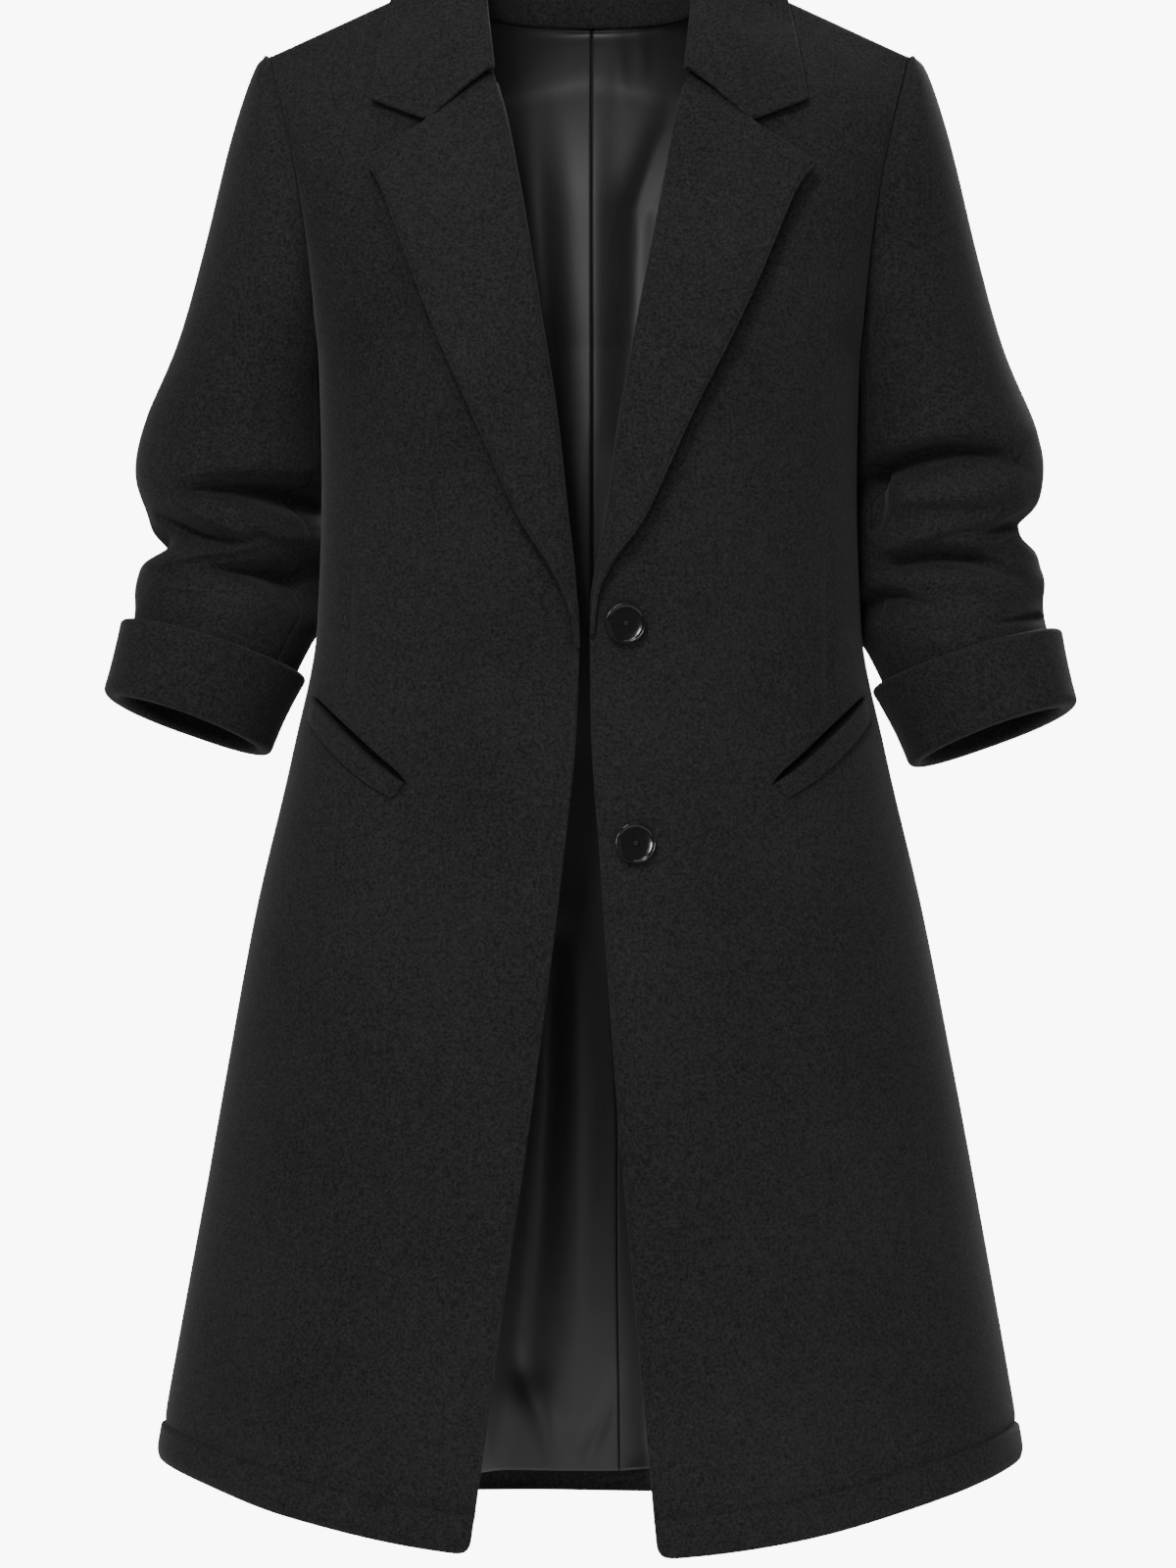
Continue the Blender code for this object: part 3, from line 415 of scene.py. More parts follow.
mouth_rows = np.array([
    (-0.0040, 0.0, 0.0), (-0.0022, 0.0, 0.0), (-0.0014, 0.0, 0.5), (-0.0008, 0.0, 1.0), (0.0000, 0.5, 1.0),
    (0.0000, 1.0, 1.0), (0.0004, 1.0, 0.45), (0.0008, 1.0, 0.0), (0.0020, 1.0, 0.0), (0.0050, 0.7, 0.0),
])
front_rows = np.concatenate([rows_below, mouth_middle + mouth_rows[:, 0], rows_above])
mouth_opens, mouth_sinks = (
    np.pad(mouth_rows[:, k], (len(rows_below), len(rows_above)))[:, None] for k in (1, 2)
)
for side, word in ((-1, "right"), (1, "left")):
    across, height = np.meshgrid(front_columns, front_rows)
    run, up = across * HEM_WIDTH, height - HEM
    corner = (run < HEM_CORNER) & (up < HEM_CORNER)
    a, b = 1 - run / HEM_CORNER, 1 - up / HEM_CORNER
    round_off = np.maximum(a, b) / np.maximum(np.hypot(a, b), 1e-9)
    across = np.where(corner, HEM_CORNER * (1 - a * round_off) / HEM_WIDTH, across)
    height = np.where(corner, HEM + HEM_CORNER * (1 - b * round_off), height)
    mouth = np.full(front_columns.shape, mouth_middle)
    for _ in range(8):
        start = angle_at(mouth, run_through(EDGE_HEIGHTS, FRONT_EDGES[word], mouth))
        seen = body_point(-1, mouth, start + (math.pi / 2 - start) * front_columns)[:, 0]
        mouth = height_seen(seen, mouth_line(seen))
    inside = np.clip((seen - MOUTH[0, 0]) / (MOUTH[-1, 0] - MOUTH[0, 0]), 0, 1)
    gape = np.sin(math.pi * inside) ** 0.6
    near = 1 - ease(MOUTH_NEAR, MOUTH_REACH, np.abs(height - mouth_middle))
    height = height + near * (mouth - mouth_middle) + mouth_opens * MOUTH_OPEN * gape
    edge = run_through(EDGE_HEIGHTS, FRONT_EDGES[word], height)
    edge = edge + ROLL_SETBACK * ease(BREAK - BREAK_BELOW, BREAK + BREAK_ABOVE, height)
    start = angle_at(height, edge)
    points = body_point(-1, height, start + (math.pi / 2 - start) * across)
    points[..., 0] *= side
    outward = faces_out(points, COAT_MIDDLE)
    move = pressed(points, FRONT_FOLDS[word]) - mouth_sinks * MOUTH_DEEP * gape ** 0.7
    move += hem_and_seam(up, (1 - across) * FRONT_WIDTH)
    groove = EDGE_GROOVE * dent(run - EDGE_RIM, EDGE_GROOVE_WIDE)
    move -= groove * (1 - ease(BREAK - EDGE_GROOVE_FADE, BREAK, height))
    points = points + outward * move[..., None]
    shoulder_in = points[-1:] - outward[-1:] * (WOOL_THICK + SEAM_GAP)
    points = np.concatenate([points, shoulder_in, shoulder_in + (0, SEAM_ALLOWANCE, 0)])
    outward = np.concatenate([outward, outward[-1:], outward[-1:]])
    joined = 1 - ease(UNDERARM - 0.006, UNDERARM + 0.002, points[:, -1:, 2:])
    side_in = points[:, -1:] - outward[:, -1:] * (SEAM_GAP + WOOL_THICK * joined)
    side_under = side_in + joined * np.array([0, SEAM_ALLOWANCE, 0])
    side_under = side_under - outward[:, -1:] * (1 - joined) * SEAM_GAP
    points = np.concatenate([points, side_in, side_under], axis=1)
    outward = np.concatenate([outward, outward[:, -1:], outward[:, -1:]], axis=1)
    piece = lay_cloth("front_cloth_" + word, points, outward, WOOL_THICK)
    sew_in(piece, "front_" + word, wool)

# Back
# One wide panel of the same wool, joined to the fronts at the side and shoulder seams.
# It is plain, and hangs from the shoulder blades in a few soft flutes that open at the hem.

BACK_GAP = 0.0003
BACK_WIDTH = 0.4
NECK_HALF = 0.087
NECK_BACK_Y = 0.079
NECK_BACK_DROP = 0.0275

BACK_FOLDS = [
    [(-205, -560, 26, -0.5), (-218, -760, 32, -4), (-228, -990, 34, -7)],
    [(-155, -520, 28, 0.5), (-162, -740, 34, 3), (-168, -1000, 36, 5)],
    [(-88, -480, 30, -0.5), (-98, -720, 34, -4), (-104, -1010, 38, -6.5)],
    [(-20, -560, 34, 0.5), (-24, -780, 38, 2.5), (-28, -1010, 40, 4.5)],
    [(62, -500, 30, -0.5), (70, -740, 36, -3.5), (76, -1010, 38, -6)],
    [(132, -540, 28, 0.5), (142, -760, 34, 3), (150, -1000, 36, 5)],
    [(205, -580, 26, -0.5), (214, -780, 32, -3.5), (222, -990, 34, -6)],
    [(-168, -245, 14, -3.5), (-120, -280, 18, -3), (-60, -330, 22, -0.5)],
    [(170, -240, 14, -3.5), (118, -272, 18, -3), (50, -318, 22, -0.5)],
    [(-150, -420, 16, -0.5), (-95, -405, 18, -2.2), (-40, -400, 20, -0.5)],
    [(148, -432, 16, -0.5), (100, -418, 18, -2.2), (46, -408, 20, -0.5)],
]


def back_point(height, across):
    """Outside of the back; across runs from the right side seam (-1) to the left (1)."""
    points = body_point(1, height, across * math.pi / 2)
    high = BODY_LEVELS[-2, 0]
    top = np.clip((height - high) / (SHOULDER - high), 0, 1) ** 1.35
    low = body_point(1, np.minimum(height, high), across * math.pi / 2)[..., 1]
    neck_in = (NECK_BACK_Y - BODY_LEVELS[-2, LEVEL_COLUMNS.index("back")]) * top
    x = np.abs(points[..., 0])
    hollow = (1 - np.clip(x / NECK_HALF, 0, 1) ** 2.2) ** 0.6
    points[..., 1] += hollow * (low + neck_in - points[..., 1])
    slope = BODY_LEVELS[-1, -1] / SHOULDER_HALF
    points[..., 2] -= top * (slope * np.maximum(NECK_HALF - x, 0) + NECK_BACK_DROP * hollow)
    return points


back_columns = np.concatenate([[-1.0, -0.996, -0.988], np.linspace(-0.97, 0.97, 57), [0.988, 0.996, 1.0]])
back_rows = np.concatenate([hem_rows, np.linspace(-0.932, -0.062, 70), np.linspace(-0.057, SHOULDER, 8)])
across, height = np.meshgrid(back_columns, back_rows)
points = back_point(height, across)
points[..., 1] += BACK_GAP
outward = faces_out(points, COAT_MIDDLE)
move = pressed(points, BACK_FOLDS) + hem_and_seam(height - HEM, (1 - np.abs(across)) * BACK_WIDTH)
back_piece = lay_cloth("back_cloth", points + outward * move[..., None], outward, WOOL_THICK)
sew_in(back_piece, "back", wool)

# Sleeves
# Each sleeve is an upper and an under piece of wool, set into the armhole with a little
# roll at its head. It is pushed up the arm, so that it stands in folds above the cuff.

# Outer x and z, inner x and z, y, depth and tilt of the ring at each step down the sleeve.

SLEEVE_RINGS = np.array([
    (0.2225, -0.0450, 0.1748, -0.2385, 0.012, 0.060, 0.000),
    (0.2385, -0.0910, 0.1724, -0.2500, 0.018, 0.064, 0.000),
    (0.2570, -0.1640, 0.1728, -0.2660, 0.026, 0.067, 0.000),
    (0.2750, -0.2260, 0.1708, -0.2850, 0.031, 0.068, 0.000),
    (0.2962, -0.2760, 0.1698, -0.3080, 0.033, 0.067, 0.000),
    (0.3038, -0.3120, 0.1695, -0.3300, 0.033, 0.066, 0.001),
    (0.2985, -0.3520, 0.1700, -0.3580, 0.031, 0.063, 0.002),
    (0.3000, -0.3860, 0.1722, -0.4040, 0.027, 0.060, 0.004),
    (0.3020, -0.4050, 0.1848, -0.4265, 0.020, 0.058, 0.005),
    (0.3050, -0.4180, 0.1945, -0.4460, 0.015, 0.056, 0.006),
    (0.3105, -0.4390, 0.2055, -0.4720, 0.010, 0.054, 0.007),
    (0.3158, -0.4590, 0.2142, -0.4970, 0.006, 0.052, 0.008),
])
SLEEVE_HANG = {"right": (1.0, 0.0, 0.0), "left": (1.016, 0.0018, 0.0010)}

# Soft bulges and hollows: height, direction, spread in degrees, width, depth and slant.

SLEEVE_BULK = {
    "right": [
        (-0.328, 135, 75, 0.011, -0.012, 0.000), (-0.346, 95, 60, 0.010, 0.005, 0.006),
        (-0.366, 5, 70, 0.009, -0.017, 0.004), (-0.348, 5, 60, 0.016, -0.005, 0.000),
        (-0.380, 135, 72, 0.010, -0.011, 0.004),
        (-0.400, 20, 80, 0.014, 0.003, 0.000), (-0.332, 245, 70, 0.011, -0.011, 0.000),
        (-0.372, 285, 70, 0.011, -0.010, 0.000),
    ],
    "left": [
        (-0.305, 110, 85, 0.011, -0.009, 0.000), (-0.330, 80, 80, 0.012, 0.005, 0.000),
        (-0.354, 0, 55, 0.010, -0.0175, 0.000), (-0.335, 0, 50, 0.016, -0.003, 0.000),
        (-0.394, 0, 60, 0.012, 0.003, 0.000), (-0.374, 95, 75, 0.009, -0.010, 0.000),
        (-0.398, 150, 45, 0.009, -0.009, 0.006), (-0.335, 250, 70, 0.011, -0.011, 0.000),
        (-0.376, 280, 70, 0.011, -0.010, 0.000),
    ],
}

# Each fold has its width above and below its line, as shares, and then its places as before.

SLEEVE_FOLDS = {
    "right": [
        (0.45, 1, [(-270.5, -329.2, 1.6, -3), (-252.4, -324.8, 3.6, -10), (-231, -323.9, 6.3, -14),
         (-208, -326.2, 9.9, -17), (-188.2, -331.7, 12.5, -14), (-175.1, -339.1, 15, -7)]),
        (1.3, 0.6, [(-272.1, -316.9, 9.9, 3), (-249.1, -308.6, 13.2, 6), (-221.1, -306.2, 13.2, 6),
         (-191.5, -309.5, 11.5, 3)]),
        (0.5, 1.6, [(-245.8, -333.3, 2.3, 2), (-231, -339.9, 3, 5), (-217.8, -347.3, 3.3, 6),
         (-203, -354.2, 3.9, 6), (-186.6, -355.5, 4.3, 2), (-175.1, -357.2, 4.6, 0)]),
        (0.9, 0.7, [(-273.8, -332.5, 4.6, 3), (-257.3, -339.9, 4.6, 5), (-240.9, -347.3, 4.6, 6),
         (-224.4, -355.5, 4.6, 5)]),
        (0.5, 1.2, [(-286.1, -341.5, 1.6, -5), (-272.1, -348.1, 3.3, -11), (-257.3, -355, 3.3, -12),
         (-240.9, -360, 2.6, -9), (-224.4, -360.5, 1.6, -3)]),
        (0.6, 1.4, [(-290.2, -373.6, 4.3, 3), (-275.4, -369.5, 3.9, 5), (-257.3, -365.7, 3.3, 6),
         (-240.9, -363.8, 3, 6), (-224.4, -361.6, 3, 4), (-216.2, -360.5, 2.3, 2)]),
        (0.5, 1.2, [(-255.7, -378.6, 1.6, -3), (-240.9, -377.9, 2.6, -9), (-224.4, -378.9, 3.9, -12),
         (-208, -381, 7.4, -14), (-193.2, -388.4, 10.5, -12), (-178.3, -399, 11.5, -6)]),
        (1, 1, [(-283.7, -390.1, 9.9, 2), (-254, -396.7, 11.5, 3), (-224.4, -404.9, 11.5, 3)]),
        (0.8, 1.2, [(-282, -392.5, 2.3, -1), (-268.8, -393.7, 3, -2.5), (-254, -395.8, 2.3, -1)]),
    ],
    "left": [
        (1.4, 0.55, [(199.3, -294.8, 10.4, 3), (223.5, -286.2, 13.8, 6), (249.4, -283.6, 13.8, 6),
         (275.3, -290.5, 12.1, 4)]),
        (0.45, 1.5, [(183.8, -319, 6.9, -10), (192.4, -311.2, 5.9, -13), (206.2, -303.5, 4.8, -14),
         (223.5, -297.9, 4.5, -14), (240.8, -296.2, 4.5, -14), (258.1, -297.9, 4.1, -12),
         (275.3, -303.1, 3.5, -7), (289.2, -309.5, 2.8, -2)]),
        (1, 1, [(187.2, -320.7, 5.2, -8), (189.8, -336.3, 4.5, -8), (188.1, -350.1, 4.1, -6)]),
        (1.2, 0.7, [(209.7, -331.1, 10.4, 3), (233.9, -327.7, 12.1, 5), (258.1, -329.4, 10.4, 4),
         (282.2, -327.7, 6.9, 2)]),
        (1.6, 0.45, [(289.2, -335.4, 2.4, 2), (275.3, -342.3, 2.4, 4), (256.3, -346.7, 3.1, 4),
         (237.3, -351, 3.8, 4), (216.6, -357.9, 4.5, 4), (201, -364.8, 4.5, 3)]),
        (0.5, 1.2, [(285.7, -344.9, 2.4, -5), (275.3, -349.3, 2.4, -9), (265.8, -352.7, 2.1, -6),
         (258.1, -355.3, 1.7, -2)]),
        (0.45, 1.5, [(193.3, -378.6, 2.1, -3), (201.9, -373.4, 2.8, -9), (214.9, -368.8, 3.1, -12),
         (233.9, -367.4, 3.5, -13), (254.6, -370.2, 3.5, -12), (271.9, -376, 3.1, -8),
         (286.6, -382.1, 2.4, -3)]),
        (0.8, 1.3, [(199.3, -382.9, 5.2, 2), (223.5, -381.2, 6.9, 4), (251.1, -382.9, 6.9, 4),
         (275.3, -390.7, 6.2, 3)]),
        (0.6, 1.2, [(183.8, -400.2, 7, -4), (192.4, -395, 4.5, -7), (204.5, -395.4, 2.8, -8),
         (216.6, -399.4, 2.4, -5), (228.7, -406.3, 2.1, -1)]),
        (0.7, 1.2, [(297.8, -408.9, 2.8, -4), (285.7, -411.5, 2.4, -3), (268.4, -414, 2.1, -1)]),
    ],
}
UPPER_TURNS = (-110.0, 142.0)
UNDER_TURNS = (142.0, 250.0)
SLEEVE_GIRTH = {"upper": 0.36, "under": 0.14}
SLEEVE_SEAM_SINK = 0.0008
SLEEVE_SEAM_WIDE = 0.003
HEAD_ROLL = 0.0022
HEAD_ROLL_AT = 0.14
HEAD_ROLL_WIDE = 0.13
HEAD_TUCK = 0.0035
HEAD_TUCK_WIDE = 0.04
ARMHOLE_GAP = 0.0006
FOLD_SAG = 0.6
FOLD_DROP_BEHIND = 5
SLEEVE_CLEAR = 0.0008
UNDERARM_BLEND = 0.004
SLEEVE_MIDDLE = (0.24, 0.02, -0.27)


def armhole(angle):
    """Edge of the armhole; angle runs from the shoulder by the front and the underarm to the back."""
    turn = np.radians(angle)
    height = (SHOULDER + UNDERARM) / 2 + (SHOULDER - UNDERARM) / 2 * np.cos(turn)
    quarter = np.full(height.shape, math.pi / 2)
    fore = (np.sin(turn) >= 0)[..., None]
    return np.where(fore, body_point(-1, height, quarter), body_point(1, height, quarter))


def clear_of_body(points):
    """Let a sleeve lie against the side of the body, and not go into it."""
    x, y, z = np.abs(points[..., 0]), points[..., 1], np.minimum(points[..., 2], UNDERARM)
    side = body_size("front_side", z)
    deep = np.where(y < side, body_size("front", z) - side, body_size("back", z) - side)
    towards = np.clip((y - side) / deep, 0, 0.999) ** body_size("turn", z)
    wide = body_size("half_width", z) * (1 - towards) ** (1 / body_size("curve", z)) + SLEEVE_CLEAR
    under = 1 - ease(UNDERARM - UNDERARM_BLEND, UNDERARM + UNDERARM_BLEND, points[..., 2])
    out = x + np.maximum(wide - x, 0) * under
    return np.stack([np.sign(points[..., 0]) * out, y, points[..., 2]], axis=-1)


def sleeve_point(word, along, angle, folded=True):
    """Outside of a sleeve; along counts rings from the armhole, angle runs as on the armhole."""
    side = -1 if word == "right" else 1
    along, angle = np.broadcast_arrays(np.asarray(along, float), np.asarray(angle, float))
    stretch, outer, inner = SLEEVE_HANG[word]
    turn = np.radians(angle)
    rings = [armhole(angle) + np.array([ARMHOLE_GAP, 0, 0])]
    axes = [armhole(np.array([0.0, 180.0])).mean(axis=0)]
    for outer_x, outer_z, inner_x, inner_z, y, depth, tilt in SLEEVE_RINGS:
        ends_x, ends_z = (outer_x + outer, inner_x + inner), (outer_z * stretch, inner_z * stretch)
        centre = np.array([sum(ends_x) / 2, y, sum(ends_z) / 2])
        x = centre[0] + (ends_x[0] - ends_x[1]) / 2 * np.cos(turn)
        z = centre[2] + (ends_z[0] - ends_z[1]) / 2 * np.cos(turn) + tilt * np.sin(turn)
        rings.append(np.stack([x, y - depth * np.sin(turn), z], axis=-1))
        axes.append(centre)
    rings, axes = np.array(rings), np.array(axes)
    axis = np.stack([run_through(np.arange(len(axes)), axes[:, k], along) for k in range(3)], axis=-1)
    i = np.clip(np.floor(along).astype(int), 0, len(rings) - 2)
    f = (along - i)[..., None]
    last = len(rings) - 1

    def ring(index):
        return np.take_along_axis(rings, index[None, ..., None], axis=0)[0]

    near, far = ring(i), ring(i + 1)
    leave = (far - ring(np.maximum(i - 1, 0))) / np.where(i == 0, 1, 2)[..., None]
    arrive = (ring(np.minimum(i + 2, last)) - near) / np.where(i + 1 == last, 1, 2)[..., None]
    points = bend(near, far, leave, arrive, f)
    away = points - axis
    away /= np.linalg.norm(away, axis=-1, keepdims=True)
    move = np.zeros(along.shape)
    for z, centre, spread, width, depth, slant in SLEEVE_BULK[word]:
        off = (angle - centre + 180) % 360 - 180
        reach = np.cos(np.clip(np.abs(off) / spread, 0, 1) * math.pi / 2) ** 2
        move += depth * dent(axis[..., 2] - z - slant * np.radians(off), width) * reach
    points = points + away * move[..., None]
    points[..., 0] *= side
    away[..., 0] *= side
    if folded:
        other = "left" if word == "right" else "right"
        behind = [(above, below, [(-x, z - FOLD_DROP_BEHIND, width, depth) for x, z, width, depth in path])
                  for above, below, path in SLEEVE_FOLDS[other]]
        fore = ease(-0.30, 0.20, np.sin(turn))
        fine = fore * pressed(points, SLEEVE_FOLDS[word]) + (1 - fore) * pressed(points, behind)
        points = points + away * fine[..., None]
        points[..., 2] -= FOLD_SAG * np.maximum(fine, 0)
    return clear_of_body(points)


sleeve_rows = np.concatenate([
    [0.0, 0.03, 0.08, 0.15], np.linspace(0.28, 4.6, 22), np.linspace(4.7, 10.2, 74),
    np.linspace(10.4, 11.9, 8),
])
for word in ("right", "left"):
    side = -1 if word == "right" else 1
    middle = np.array(SLEEVE_MIDDLE) * (side, 1, 1)
    for part, turns, steps in (("upper", UPPER_TURNS, 60), ("under", UNDER_TURNS, 22)):
        share = np.linspace(0.035, 0.965, steps - 5)
        share = np.concatenate([[0.0, 0.006, 0.016], share, [0.984, 0.994, 1.0]])
        angle, along = np.meshgrid(turns[0] + (turns[1] - turns[0]) * share, sleeve_rows)
        points = sleeve_point(word, along, angle)
        outward = faces_out(points, middle)
        seam = np.minimum(share, 1 - share)[None, :] * SLEEVE_GIRTH[part]
        over_head = ease(-0.6, 0.5, np.cos(np.radians(angle)))
        tucked = HEAD_TUCK * dent(along, HEAD_TUCK_WIDE)
        move = HEAD_ROLL * dent(along - HEAD_ROLL_AT, HEAD_ROLL_WIDE) * over_head - tucked
        move = move - SLEEVE_SEAM_SINK * dent(seam, SLEEVE_SEAM_WIDE) * ease(0.0, 0.6, along)
        points[..., 0] -= side * tucked
        points = points + outward * move[..., None]
        piece = lay_cloth("sleeve_cloth_%s_%s" % (part, word), points, outward, WOOL_THICK)
        node = "sleeve_%s_%s" % (part, word)
        sew_in(piece, node, wool)

# Cuffs
# The end of each sleeve is folded back on itself as a deep cuff. The fold is soft, and the
# free edge at the top stands a little off the sleeve.

CUFF_TOP = 9.9
CUFF_FOLD = 11.95
CUFF_SLOPE = 0.24
CUFF_FLARE = 0.0045
CUFF_SPLAY = 0.0032
CUFF_LIFT = 0.0006
CUFF_THICK = 0.0030
CUFF_ROLL = 0.0034
CUFF_WALL = 0.85 * CUFF_THICK
CUFF_FOLD_FLAT = 0.85
CUFF_INNER_GAP = 0.0008
CUFF_INNER_FROM = 5
CUFF_WAVES = (0.25, 0.12)
CUFF_CURL = (125, 95, 70, 45, 22)

for word in ("right", "left"):
    side = -1 if word == "right" else 1
    middle = np.array(SLEEVE_MIDDLE) * (side, 1, 1)
    turns = np.linspace(UPPER_TURNS[0], UNDER_TURNS[1], 59)
    angle, share = np.meshgrid(turns, np.linspace(1, 0, 15))
    top = CUFF_TOP + CUFF_SLOPE * (1 - np.cos(np.radians(angle))) / 2
    along = CUFF_FOLD + (top - CUFF_FOLD) * share
    sleeve = sleeve_point(word, along, angle, folded=False)
    outward = faces_out(sleeve, middle, tube=True)
    down = sleeve[-1] - sleeve[-2]
    down = down / np.linalg.norm(down, axis=-1, keepdims=True)
    turn = np.radians(angle[:1])
    wave = 1 + CUFF_WAVES[0] * np.sin(2 * turn + 0.6 * side) + CUFF_WAVES[1] * np.sin(5 * turn)
    lift = CUFF_LIFT + CUFF_THICK + CUFF_FLARE * share ** 1.4 * wave
    lift = lift + CUFF_SPLAY * (1 - share) * ease(-0.2, 1, np.cos(turn))
    inside = -WOOL_THICK - CUFF_INNER_GAP - CUFF_THICK
    outer = sleeve + outward * lift[..., None]
    radius = (lift[-1:] - inside) / 2
    arc = np.radians(np.arange(25, 151, 25))[:, None]
    fold_in = (lift[-1:] + inside) / 2 + radius * np.cos(arc)
    fold_down = radius * np.sin(arc) * CUFF_FOLD_FLAT
    fold = sleeve[-1] + outward[-1] * fold_in[..., None] + down * fold_down[..., None]
    inner = (sleeve + outward * inside)[CUFF_INNER_FROM:][::-1]
    up = sleeve[0] - sleeve[1]
    up = up / np.linalg.norm(up, axis=-1, keepdims=True)
    curl = np.radians(np.array(CUFF_CURL))[:, None, None]
    rolled = outer[0] - outward[0] * CUFF_ROLL * (1 - np.cos(curl)) + up * CUFF_ROLL * np.sin(curl)
    points = np.concatenate([rolled, outer, fold, inner])
    facing = np.zeros(points.shape)
    facing[len(rolled):len(rolled) + len(outer)] = outward
    piece = lay_cloth("cuff_cloth_" + word, points, facing, CUFF_WALL, tube=True)
    sew_in(piece, "cuff_" + word, wool)

# Lapels
# Each lapel is the facing of the front, turned back at the roll line and pressed, so that
# it rolls over softly from the inside of the front to a straight edge and a pointed tip.

# Places up each lapel, in millimetres: x and z of the roll line, x and z of the free edge.

LAPELS = {
    "right": np.array([
        (6, -433, 6.4, -432), (6.8, -410, 11.8, -405), (8.8, -385, 24, -380), (13.5, -345, 43, -351),
        (20, -285, 74.5, -279), (30.5, -218, 105, -207), (42, -145, 133, -133), (58, -60.5, 142.7, -117.4),
    ]) * MM,
    "left": np.array([
        (0.3, -425, 0.6, -424), (0.5, -402, 4, -397), (3, -385, 12, -380), (10.5, -345, 33.5, -351),
        (19, -285, 66, -279), (31, -218, 101, -207), (45, -145, 133, -133), (60, -61.8, 144, -119),
    ]) * MM,
}
LAPEL_THICK = 0.0028
LAPEL_ROLL_LIFT = 0.0012
LAPEL_EDGE_LIFT = 0.0095
LAPEL_NARROW = 0.018
LAPEL_RIM = 0.0050
LAPEL_GROOVE = 0.0010
LAPEL_FACING = 0.016
LAPEL_FACING_STEPS = (1.0, 0.7, 0.4, 0.15)
LAPEL_ROUND = 0.0050
LAPEL_GORGE = 0.0050
LAPEL_GORGE_IN = 0.0060
LAPEL_GORGE_SINK = 0.0034
LAPEL_BOW = 0.0022
LAPEL_WALL = 0.9 * LAPEL_THICK
LAPEL_INNER_GAP = 0.0010
NORMAL_STEP = 0.002


def front_at(side, x, z):
    """Point of the front seen at x, z from the front."""
    height = height_seen(x, z)
    points = body_point(-1, height, angle_at(height, x))
    points[..., 0] *= side
    return points


def front_normal(side, x, z):
    """Direction straight out of the front at x, z."""
    along_x = front_at(side, x + NORMAL_STEP, z) - front_at(side, x - NORMAL_STEP, z)
    along_z = front_at(side, x, z + NORMAL_STEP) - front_at(side, x, z - NORMAL_STEP)
    normal = side * np.cross(along_x, along_z)
    return normal / np.linalg.norm(normal, axis=-1, keepdims=True)


for side, word in ((-1, "right"), (1, "left")):
    along = np.concatenate([[0.0, 0.008, 0.02], np.linspace(0.04, 0.97, 56), [0.985, 0.994, 1.0]])
    places = np.linspace(0, 1, len(LAPELS[word]))
    roll_x, roll_z, edge_x, edge_z = (
        run_through(places, LAPELS[word][:, k], along)[:, None] for k in range(4)
    )
    wide = np.hypot(edge_x - roll_x, edge_z - roll_z)
    full = ease(0.0, 0.16, along)[:, None] * np.clip(wide / LAPEL_NARROW, 0, 1)
    rim = np.minimum(LAPEL_RIM / wide, 0.3)
    across = np.concatenate([
        np.concatenate([[0.0], np.linspace(0.045, 0.955, 18), [1.0]]) * (1 - rim),
        1 - rim + rim * np.array([0.25, 0.45, 0.58, 0.70, 0.82, 0.92, 1.0]),
    ], axis=1)
    tuck = np.minimum(LAPEL_ROUND * full / wide, 0.3)
    roll_x, roll_z = roll_x + (edge_x - roll_x) * tuck, roll_z + (edge_z - roll_z) * tuck
    x, z = roll_x + (edge_x - roll_x) * across, roll_z + (edge_z - roll_z) * across
    under_collar = ease(0.955, 1.0, along)[:, None] * (1 - ease(0.46, 0.56, across))
    z = z + (LAPEL_GORGE + LAPEL_GORGE_IN * (1 - ease(0.0, 0.45, across))) * under_collar
    lift = LAPEL_ROLL_LIFT + (LAPEL_EDGE_LIFT - LAPEL_ROLL_LIFT) * across ** 1.6 + LAPEL_THICK
    lift = lift + LAPEL_BOW * np.sin(math.pi * across) ** 0.8 * ease(0.05, 0.4, along)[:, None]
    lift = lift - LAPEL_GORGE_SINK * under_collar
    lift = lift * (0.3 + 0.7 * full)
    lift = lift - LAPEL_GROOVE * dent(across - 1 + 0.36 * rim, 0.11 * rim) * full
    face = front_at(side, x, z) + front_normal(side, x, z) * lift[..., None]
    roll = front_at(side, roll_x[:, 0], roll_z[:, 0])
    out = front_normal(side, roll_x[:, 0], roll_z[:, 0])
    over = face[:, 3] - face[:, 0]
    over -= out * np.sum(over * out, axis=-1, keepdims=True)
    over /= np.linalg.norm(over, axis=-1, keepdims=True)
    behind = -(WOOL_THICK + LAPEL_INNER_GAP + LAPEL_THICK) * full + lift[:, :1] * (1 - full)
    radius = (lift[:, :1] - behind) / 2
    arc = np.radians(np.arange(-65, 61, 25))[None, :]
    turned = (lift[:, :1] + behind) / 2 + radius * np.sin(arc)
    leaned = -radius * np.cos(arc)
    wrap = roll[:, None] + out[:, None] * turned[..., None] + over[:, None] * leaned[..., None]
    depth = LAPEL_FACING * full * np.array(LAPEL_FACING_STEPS)[None, :]
    inside = np.repeat(behind, depth.shape[1], axis=1)
    facing = roll[:, None] + out[:, None] * inside[..., None] + over[:, None] * depth[..., None]
    points = np.concatenate([facing, wrap, face], axis=1)
    outward = np.zeros(points.shape)
    outward[:, facing.shape[1] + wrap.shape[1]:] = front_normal(side, x, z)
    piece = lay_cloth("lapel_cloth_" + word, points, outward, LAPEL_WALL)
    sew_in(piece, "lapel_" + word, wool)

# Collar
# A doubled collar of the same wool. It stands up from the neck seam, rolls over and falls on
# the shoulders, and its front ends meet the lapels in a stepped notch.

# Stations from the back of the neck to the front end, in millimetres: the neck seam, the roll,
# the middle of the fall and the free edge.

